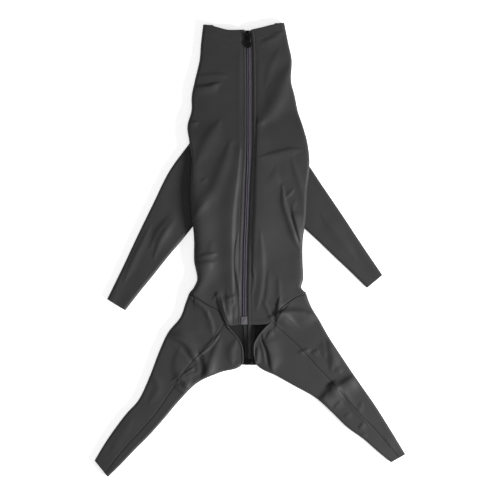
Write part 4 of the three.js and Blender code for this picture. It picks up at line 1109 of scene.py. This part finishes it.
def woven(name, colour, roughness, rib, cloud, **sockets):
    """Tape or thread, with ribs that run along the zip."""
    cells = {"Wale Width": rib, "Course Height": 0.3, "Cloud": cloud, "Cloud Size": 9}
    return threaded(name, colour, roughness, cells, WEAVE_BUMP, **sockets)


def grained(name, colour, roughness, wear, **sockets):
    material, tree, shader = finish(name, colour, roughness, **sockets)
    grain = node(tree, "ShaderNodeGroup", {"Wear": wear}, node_tree=GRAIN).outputs
    rough = maths(tree, "ADD", grain["Rough"], roughness - wear / 2)
    tree.links.new(rough, shader.inputs["Roughness"])
    bumped(tree, shader, grain["Height"], *GRAIN_BUMP)
    return material


JERSEY = knitted("charcoal_jersey", (0.0195, 0.0195, 0.0198), 0.6,
                 Sheen_Weight=0.05, Sheen_Roughness=0.45, Specular_IOR_Level=0.26)
SEAM = woven("dark_seam_thread", (0.005, 0.005, 0.005), 0.8, 0.2, 0.3, Specular_IOR_Level=0.15)
# A much darker copy of the jersey: painted shade for the belly panel's inner face, which lies in shadow
# under the tail opening
PAINTED_SHADE_INSIDE = knitted("charcoal_jersey_inside_painted_shade", (0.008, 0.008, 0.008), 0.7, Specular_IOR_Level=0.2)
THREAD_GREY = woven("charcoal_thread", (0.021, 0.021, 0.0215), 0.6, 0.12, 0.3, Specular_IOR_Level=0.4)
ZIP_TAPE = woven("lilac_grey_tape", (0.03, 0.0265, 0.037), 0.7, 0.7, 0.3, Sheen_Weight=0.1)
ZIP_COIL = grained("lilac_grey_nylon", (0.045, 0.04, 0.056), 0.45, 0.2, Specular_IOR_Level=0.4)
# Far darker than the coils and the tape: painted shade for the slit down the middle of the chain
PAINTED_SHADE_ZIP_CORE = woven("zip_core_painted_shade", (0.009, 0.008, 0.011), 0.8, 0.4, 0.3)
STOP_THREAD = woven("pale_grey_tack", (0.085, 0.08, 0.09), 0.55, 0.2, 0.5)
LACQUER = grained("black_lacquered_metal", (0.0012, 0.0012, 0.0015), 0.3, 0.14, Specular_IOR_Level=0.07)
BLACK_TAPE = woven("black_tape", (0.007, 0.007, 0.008), 0.75, 0.7, 0.4)
BLACK_COIL = grained("black_nylon", (0.011, 0.011, 0.013), 0.4, 0.2)


def dress(piece, material, nodes=(), ride="garment"):
    piece.data.materials.clear()
    piece.data.materials.append(material)
    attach(piece, ride)
    if nodes:
        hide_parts(*nodes)
    return piece


# Rows that repeat along a path: stitches, coil loops and tacking threads


def along_path_tree(name, lengths, shape, turned):
    """Copies of a shape along a path, a pitch apart, either turned with it or as they are."""
    tree, given, made = node_group(
        name, "GeometryNodeTree",
        [("Geometry", "Geometry"), *((label, "Float", size * MM) for label, size in lengths.items()),
         ("Finish", "Material")], [("Geometry", "Geometry")])
    line = node(tree, "GeometryNodeMeshToCurve", {0: given["Geometry"]}).outputs[0]
    apart = {"Curve": line, "Length": given["Pitch"]}
    spread = node(tree, "GeometryNodeCurveToPoints", apart, mode="LENGTH")
    copies = {"Points": spread.outputs["Points"], "Instance": shape(tree, given)}
    if turned:
        copies["Rotation"] = spread.outputs["Rotation"]
    placed = node(tree, "GeometryNodeInstanceOnPoints", copies).outputs[0]
    real = node(tree, "GeometryNodeRealizeInstances", {0: placed}).outputs[0]
    coated = node(tree, "GeometryNodeSetMaterial", {"Geometry": real, "Material": given["Finish"]})
    tree.links.new(coated.outputs[0], made[0])
    return tree


def stitch(tree, given):
    """A stitch lies along the path as a long round grain."""
    ball = node(tree, "GeometryNodeMeshUVSphere", {"Segments": 8, "Rings": 6, "Radius": 1.0}).outputs[0]
    half = maths(tree, "MULTIPLY", given["Length"], 0.5)
    size = node(tree, "ShaderNodeCombineXYZ", {0: given["Radius"], 1: given["Radius"], 2: half}).outputs[0]
    return node(tree, "GeometryNodeTransform", {"Geometry": ball, "Scale": size}).outputs[0]


def coil_loop(tree, given):
    """A coil's loop stands across the zip as half a turn of wire."""
    bend = node(tree, "GeometryNodeCurveArc", {
        "Resolution": 7, "Radius": 1.0, "Start Angle": 0, "Sweep Angle": math.pi}).outputs[0]
    size = node(tree, "ShaderNodeCombineXYZ", {0: given["Reach"], 1: given["Rise"], 2: 1}).outputs[0]
    loop = node(tree, "GeometryNodeTransform", {"Geometry": bend, "Scale": size}).outputs[0]
    upright = {"Geometry": loop, "Rotation": (math.pi / 2, 0, 0)}
    wire = {
        "Curve": node(tree, "GeometryNodeTransform", upright).outputs[0],
        "Profile Curve": node(tree, "GeometryNodeCurvePrimitiveCircle", {
            "Resolution": 6, "Radius": given["Radius"]}).outputs[0],
        "Fill Caps": True,
    }
    return node(tree, "GeometryNodeCurveToMesh", wire).outputs[0]


STITCH_SIZES = {"Pitch": STITCH_PITCH, "Radius": THREAD, "Length": STITCH_LENGTH}
COIL_SIZES = {"Pitch": COIL_PITCH, "Radius": COIL_WIRE, "Reach": COIL_REACH, "Rise": COIL_RISE}
STITCHES = along_path_tree("row_of_stitches", STITCH_SIZES, stitch, turned=True)
COILS = along_path_tree("row_of_coil_loops", COIL_SIZES, coil_loop, turned=False)


def along_path(name, lines, tree, material, **sizes):
    """The tree's copies along each line of millimetre points, as one plain mesh."""
    mesh = bpy.data.meshes.new(name)
    points, edges = [], []
    for line in lines:
        first = len(points)
        points += (np.asarray(line) * MM).tolist()
        edges += [(first + i, first + i + 1) for i in range(len(line) - 1)]
    mesh.from_pydata(points, edges, [])
    source = linked(f"{name}_path", mesh)
    modifier = source.modifiers.new("copies", "NODES")
    modifier.node_group = tree
    values = {label: size * MM for label, size in sizes.items()} | {"Finish": material}
    for item in tree.interface.items_tree:
        if item.in_out == "INPUT" and item.name in values:
            modifier[item.identifier] = values[item.name]
    piece = plain_mesh(source, name)
    shade_smooth(piece.data)
    return piece


# The suit

panels = {}
for side in (LEFT, RIGHT):
    name = SIDE[side]
    leg = LEGS[side]
    panels[f"back_{name}"] = dress(back_panel(side), JERSEY, [f"back_{name}"])
    panels[f"sleeve_{name}"] = dress(sleeve_tube(side), JERSEY, [f"sleeve_{name}"])
    panels[f"leg_{name}_outer"] = dress(leg_outer_panel(leg), JERSEY, [f"leg_{name}_outer"])
    panels[f"leg_{name}_inner"] = dress(leg_inner_panel(leg), JERSEY, [f"leg_{name}_inner"])
    dress(tail_rim(leg), JERSEY, [f"tail_binding_{name}"])
panels["belly"] = dress(belly_sheet(), JERSEY, ["belly_panel"])
panels["belly"].data.materials.append(PAINTED_SHADE_INSIDE)
# The belly panel's upward inner face takes the darker copy of the jersey, as painted shade
for face in panels["belly"].data.polygons:
    face.material_index = int(face.normal.z > 0.5)


# Stitched lines on the back


def back_line(side, across, at):
    """Points on the upper face of the back."""
    plan = body_plan(side, across, at)
    plan[..., 0] -= side * SIDE_BULGE * across
    return with_height(plan, folded_top(side, plan) + WALL / 2 + THREAD * 0.3)


def stitched_lines():
    lines = []
    for side in (LEFT, RIGHT):
        at = np.linspace(0.025, 0.997, 260)
        beside_zip = ZIP_STITCH / np.abs(edge_x(side, at) - cloth_x(side, at))
        neck = np.linspace(0.03, 0.97, 60)
        tail = np.linspace(0.05, TAIL_CORNER[side] - 0.03, 26)
        lines += [
            back_line(side, beside_zip, at),
            back_line(side, neck, neck_at(side, neck) + NECK_HEM / BACK_LENGTH),
            back_line(side, tail, hem_at(side, tail) - TAIL_HEM / BACK_LENGTH),
        ]
    return lines


def seam_allowance(side):
    """The turned-in cloth under the hip seam."""
    across = np.linspace(TAIL_CORNER[side] + 0.01, 1, 70)[:, None]
    width = np.linspace(-ALLOWANCE / 2, ALLOWANCE / 2, 8)[None, :]
    across, width = np.broadcast_arrays(across, width)
    plan = hem_point(side, across, width[..., None])
    grid = with_height(plan, folded_top(side, plan) - ALLOWANCE_DROP)
    return cloth_mesh(f"hip_seam_allowance_{SIDE[side]}", grid, ALLOWANCE_THICKNESS)


def seam_lines(side):
    """The dark lines along the leg's upper seam and along the hip's seam."""
    leg = LEGS[side]
    at = np.linspace(0.004, 0.985, 160)
    top = leg_top(leg, leg.read("seam", at), at)
    top[:, 2] += WALL / 2 - LEG_SEAM / 4
    across = np.linspace(TAIL_CORNER[side] + 0.01, 0.99, 70)
    plan = hem_point(side, across, SEAM_GAP / 2)
    return top, with_height(plan, folded_top(side, plan) + WALL / 2 - HIP_SEAM / 2)


def crotch_seam(side):
    """The overlocked seam between the belly panel's tongue and the leg."""
    plan = tongue_point(LEGS[side], np.linspace(1, CROTCH_AT, 50)) - np.array([side * (GAP + WALL) / 2, 0])
    return tube(f"crotch_seam_{SIDE[side]}", with_height(plan, CROTCH_SEAM), CROTCH_SEAM)


for side in (LEFT, RIGHT):
    dress(crotch_seam(side), SEAM)
    top, hip = seam_lines(side)
    dress(tube(f"leg_seam_{SIDE[side]}", top, LEG_SEAM, 6), SEAM)
    dress(tube(f"hip_seam_{SIDE[side]}", hip, HIP_SEAM, 6), SEAM)
    dress(seam_allowance(side), JERSEY)

dress(along_path("back_topstitching", stitched_lines(), STITCHES, THREAD_GREY), THREAD_GREY)


# Back zip


def tape_z(at):
    return crown_z(at) - WALL / 2 - GAP - TAPE_THICKNESS / 2


def chain_z(at):
    return tape_z(at) + (CHAIN_THICKNESS - TAPE_THICKNESS) / 4


def zip_line(count, x, lift=0.0):
    """A line along the chain, from the slider to the zip's lower end."""
    at = np.linspace(SLIDER_AT, 1, count)
    return np.stack([zip_x(at) + x, NECK_Y - at * BACK_LENGTH, chain_z(at) + lift], axis=-1)


def zip_strip(name, start, left, right, height, thickness, bow=0.0):
    """A strip along the zip down to its lower end, from left to right of the zip's middle."""
    at = np.linspace(start, 1, 160)[:, None]
    t = np.linspace(0, 1, 9)[None, :]
    x = zip_x(at) + mix(left, right, t)
    y = np.broadcast_to(NECK_Y - at * BACK_LENGTH, x.shape)
    z = height(at) + bow * np.sin(math.pi * t)
    return cloth_mesh(name, np.stack([x, y, z], axis=-1), thickness)


def coil_rows(name, line_at, material, rise):
    """The two rows of loops, a little apart and staggered. line_at gives the line at a place across."""
    rows = [line_at(side * (COIL_REACH + COIL_APART)) + np.array([0, COIL_STAGGER * COIL_PITCH * side, 0])
            for side in (LEFT, RIGHT)]
    return along_path(name, rows, COILS, material, **(COIL_SIZES | {"Rise": rise}))


def back_zip():
    for side in (LEFT, RIGHT):
        name = f"zip_tape_{SIDE[side]}"
        ends = sorted((side * (TAPE_INNER + TAPE_WIDTH), side * (CHAIN_WIDTH / 2 - TAPE_UNDER_CHAIN)))
        tape = zip_strip(f"{name}_woven", ZIP_TOP_AT, *ends, tape_z, TAPE_THICKNESS)
        dress(tape, ZIP_TAPE, [name])
    # The core between the two coil rows takes that dark finish, painted shade in the chain's middle
    core = zip_strip("zip_coil_core", SLIDER_AT, -CORE_REACH, CORE_REACH, chain_z, CORE_THICKNESS)
    dress(core, PAINTED_SHADE_ZIP_CORE, ["zip_chain"])
    coil = coil_rows("zip_coil", lambda x: zip_line(240, x), ZIP_COIL, COIL_RISE)
    dress(coil, ZIP_COIL, ["zip_chain"])
    for side in (LEFT, RIGHT):
        line = zip_line(150, side * COIL_REACH, CORD_LIFT)
        dress(tube(f"zip_coil_cord_{SIDE[side]}", line, CORD, 6), ZIP_TAPE, ["zip_chain"])


back_zip()


def tack():
    """The zip's lower end: a pad across the chain, covered with wavering rows of satin stitches."""
    start = 1 - STOP_LENGTH / BACK_LENGTH
    half = STOP_WIDTH / 2 - 0.7
    pad_lift, pad_thickness, thread_lift, bow, waver = 1.9, 0.7, 2.3, 0.25, 0.22
    pad = zip_strip(
        "zip_end_pad", start, -half, half, lambda at: chain_z(at) + pad_lift, pad_thickness, bow)
    dress(pad, STOP_THREAD, ["zip_bottom_stop"])
    threads = []
    for i, at in enumerate(np.linspace(start + 0.0008, 0.9992, 19)):
        x = float(zip_x(at)) + np.linspace(-half, half, 9)
        y = NECK_Y - at * BACK_LENGTH + waver * np.sin(np.arange(9) * 2.1 + i)
        z = float(chain_z(at)) + thread_lift + bow * np.sin(np.linspace(0, math.pi, 9))
        threads.append(np.stack([x, y, z], axis=-1))
    rows = along_path("zip_end_tack", threads, STITCHES, STOP_THREAD, Pitch=1.55, Radius=0.3, Length=2.1)
    dress(rows, STOP_THREAD, ["zip_bottom_stop"])


tack()

# The back zip's slider and pull

SLIDER_ROOM = CHAIN_THICKNESS / 2 + GAP
SLIDER_X, SLIDER_Y = float(zip_x(SLIDER_AT)), NECK_Y - SLIDER_AT * BACK_LENGTH
SLIDER_Z = float(chain_z(SLIDER_AT))
SLIDER_TOP = SLIDER_Z + SLIDER_ROOM + PLATE_THICKNESS
SIDEWAYS = Matrix.Rotation(math.pi / 2, 4, "Z") @ Matrix.Rotation(math.pi / 2, 4, "X")


def slider():
    """Two plates with the chain between them, a post, two side walls and the bridge that holds the pull."""
    w, l = SLIDER_WIDTH / 2, SLIDER_LENGTH / 2
    crown = rounded([(-w, 0.12 * l), (-w, 0.72 * l), (-0.72 * w, l), (-0.4 * w, l), (-0.2 * w, 0.88 * l),
                     (0.2 * w, 0.88 * l), (0.4 * w, l), (0.72 * w, l), (w, 0.72 * l), (w, 0.12 * l),
                     (0.78 * w, -0.8 * l), (0.62 * w, -l), (-0.62 * w, -l), (-0.78 * w, -0.8 * l)], 1.1)
    away = SLIDER_ROOM + PLATE_THICKNESS / 2
    parts = []
    for level, z in (("top", SLIDER_Z + away), ("low", SLIDER_Z - away)):
        place = (SLIDER_X, SLIDER_Y, z)
        parts.append(plate(f"slider_{level}", [crown], PLATE_THICKNESS, METAL_EDGE, place))
    (foot, low), (head, high) = SLIDER_POST
    post = rounded([(-foot, low), (foot, low), (head, high), (-head, high)], 0.5)
    parts.append(plate("slider_post", [post], 2 * SLIDER_ROOM + 0.6, 0.2, (SLIDER_X, SLIDER_Y, SLIDER_Z)))
    rail = bar(RAIL_THICKNESS / 2, *RAIL_ENDS, 0.4)
    for side in (LEFT, RIGHT):
        place = (SLIDER_X + side * RAIL_OUT, SLIDER_Y - 0.4, SLIDER_Z + SLIDER_ROOM - 0.3)
        lean_in = Matrix.Rotation(-side * math.radians(RAIL_LEAN), 4, "Z")
        parts.append(plate("slider_wall", [rail], RAIL_HEIGHT, 0.25, place, lean_in))
    half, top, bend = BRIDGE_EYE / 2 + BRIDGE_WALL, BRIDGE_EYE + BRIDGE_WALL, BRIDGE_BEND
    arch = [(-half, -0.4), (half, -0.4), (half, top - bend)]
    arch += circle(half - bend, top - bend, bend, 8, 0, math.pi / 2)
    arch += circle(bend - half, top - bend, bend, 8, math.pi / 2, math.pi / 2) + [(-half, top - bend)]
    eye = rounded([(-BRIDGE_EYE / 2, 0.2), (-BRIDGE_EYE / 2, BRIDGE_EYE), (BRIDGE_EYE / 2, BRIDGE_EYE),
                   (BRIDGE_EYE / 2, 0.2)], 0.8)
    place = (SLIDER_X, SLIDER_Y, SLIDER_TOP)
    parts.append(plate("slider_bridge", [arch, eye], BRIDGE_WIDTH, METAL_EDGE, place, SIDEWAYS))
    return joined("zip_slider_body", parts)


dress(slider(), LACQUER, ["zip_slider"])


def pull_tab():
    """The pull: a bar at the hinge, straight sides and a round end with a hole, drooping a little."""
    hold, half, end = PULL_THICKNESS / 2, PULL_WIDTH / 2, PULL_END_WIDTH / 2
    centre = end + hold - PULL_LENGTH
    shoulder = math.acos(half / end)
    corners = [p for p in bar(half, hold, hold - 2, 0.9) if p[1] > hold - 1.5]
    waist = [(half - 0.25, hold - 4.5), (half - 0.1, centre + end * math.sin(shoulder) + 0.6)]
    round_end = circle(0, centre, end, 40, shoulder, -(math.pi + 2 * shoulder))
    ring = [p for p in corners if p[0] < 0] + [p for p in corners if p[0] > 0]
    ring += waist + round_end + [(-x, y) for x, y in reversed(waist)]
    slot, deep = BRIDGE_WIDTH / 2 + GAP, -hold - PULL_EYE_LENGTH
    eye = rounded([(-slot, -hold), (-slot, deep), (slot, deep), (slot, -hold)], 0.7)
    hole = circle(0, centre, PULL_HOLE / 2, 28)
    hinge = (SLIDER_X, SLIDER_Y, SLIDER_TOP + BRIDGE_EYE / 2)
    droop = Matrix.Rotation(math.radians(PULL_DROOP), 4, "X")
    return plate("zip_pull_tab", [ring, eye, hole], PULL_THICKNESS, METAL_EDGE, hinge, droop)


dress(pull_tab(), LACQUER, ["zip_pull"], ride="pull")


# Belly zip, on the inner face of the belly panel


def belly_zip():
    base, count = WALL + GAP, 60
    y = BELLY_Y + np.linspace(0, BELLY_ZIP_LENGTH, count)[:, None]
    t = np.linspace(0, 1, 9)[None, :]
    far = mix(BELLY_TAPE_END_WIDTH, BELLY_TAPE_WIDTH, smooth(np.linspace(0, 2, count)))[:, None]
    for side in (LEFT, RIGHT):
        name = f"belly_zip_tape_{SIDE[side]}"
        inner = side * (CHAIN_WIDTH / 2 - GAP)
        x, y_all = np.broadcast_arrays(BELLY_X + mix(inner, side * (TAPE_INNER + far), t), y)
        grid = with_height(np.stack([x, y_all], axis=-1), base + TAPE_THICKNESS / 2)
        dress(cloth_mesh(f"{name}_woven", grid, TAPE_THICKNESS), BLACK_TAPE, [name])
    along = np.linspace(BELLY_Y + BELLY_CHAIN_FROM, BELLY_Y + BELLY_ZIP_LENGTH, count)

    def chain_line(x):
        plan = np.stack([np.full(count, BELLY_X + x), along], axis=-1)
        return with_height(plan, base + CHAIN_THICKNESS / 2)

    grid = np.stack([chain_line(x) for x in np.linspace(-CORE_REACH, CORE_REACH, 5)], axis=1)
    core = cloth_mesh("belly_zip_core", grid, CORE_THICKNESS)
    dress(core, BLACK_COIL, ["belly_zip_chain"])
    coil = coil_rows("belly_zip_coil", chain_line, BLACK_COIL, BELLY_COIL_RISE)
    dress(coil, BLACK_COIL, ["belly_zip_chain"])


belly_zip()


def belly_slider():
    """A foot in the slot, a post, a crown over the chain and a boss on it."""
    w, l = BELLY_SLIDER_WIDTH / 2, BELLY_SLIDER_LENGTH / 2
    chain_top = WALL + 2 * GAP + CHAIN_THICKNESS
    slot = BELLY_SLOT / 2 - GAP
    crown = [rounded([(-0.8 * w, -l), (0.8 * w, -l), (w, 0.2 * l), (w, 0.8 * l), (0.7 * w, l),
                      (-0.7 * w, l), (-w, 0.8 * l), (-w, 0.2 * l)], 1.0)]
    boss = [circle(0, 0, BELLY_BOSS_WIDTH / 2), circle(0, 0, BELLY_BOSS_HOLE / 2, 24)]
    parts = (
        ("foot", [bar(slot, -l, l, 1.2)], WALL, 0.25, WALL / 2),
        ("post", [bar(slot, -l, BELLY_POST_LENGTH - l, 0.6)], chain_top, 0.2, WALL / 2 + chain_top / 2),
        ("crown", crown, PLATE_THICKNESS, METAL_EDGE, chain_top + PLATE_THICKNESS / 2),
        ("boss", boss, PLATE_THICKNESS, 0.3, chain_top + 1.4 * PLATE_THICKNESS),
    )
    return joined("belly_zip_slider_body", [
        plate(f"belly_{part}", rings, thickness, edge, (BELLY_X, BELLY_Y + l, z))
        for part, rings, thickness, edge, z in parts
    ])


dress(belly_slider(), LACQUER, ["belly_zip_slider"])


# Floor, lights and camera

FLOOR_REACH, FLOOR_Z = 4, -0.0006
CAMERA_HEIGHT = 5.01
floor_mesh = bpy.data.meshes.new("floor")
corners = [(x * FLOOR_REACH, y * FLOOR_REACH, FLOOR_Z) for x, y in ((-1, -1), (1, -1), (1, 1), (-1, 1))]
floor_mesh.from_pydata(corners, [], [(0, 1, 2, 3)])
floor = linked("floor", floor_mesh)
floor_finish, _, _ = finish(
    "pale_floor", (0.86, 0.86, 0.86), 0.9, Emission_Color=(1, 1, 1, 1), Emission_Strength=0.62)
floor.data.materials.append(floor_finish)


def softbox(name, place, size, power):
    """A square light that looks at the middle of the suit."""
    data = bpy.data.lights.new(name, "AREA")
    data.shape, data.size, data.energy = "SQUARE", size, power
    lamp = linked(name, data)
    lamp.location = place
    lamp.rotation_mode = "QUATERNION"
    lamp.rotation_quaternion = (-Vector(place)).to_track_quat("-Z", "Y")


softbox("key", (1.75, -0.9, 1.04), 0.64, 118)
softbox("top", (0.3, 0.2, 2.8), 1.2, 11)
softbox("fill", (-1.8, -0.6, 1.8), 1.5, 5)

world = bpy.data.worlds.new("studio")
bpy.context.scene.world = world
world.use_nodes = True
background = world.node_tree.nodes["Background"].inputs
background["Color"].default_value = (1, 1, 1, 1)
background["Strength"].default_value = 0.22

camera_data = bpy.data.cameras.new("camera")
camera_data.lens, camera_data.sensor_width, camera_data.sensor_fit = 240, 36, "HORIZONTAL"
camera_data.clip_end = 50
camera = linked("camera", camera_data)
camera.location = (0, 0, CAMERA_HEIGHT)
bpy.context.scene.camera = camera
bpy.context.scene.view_settings.view_transform = "Standard"
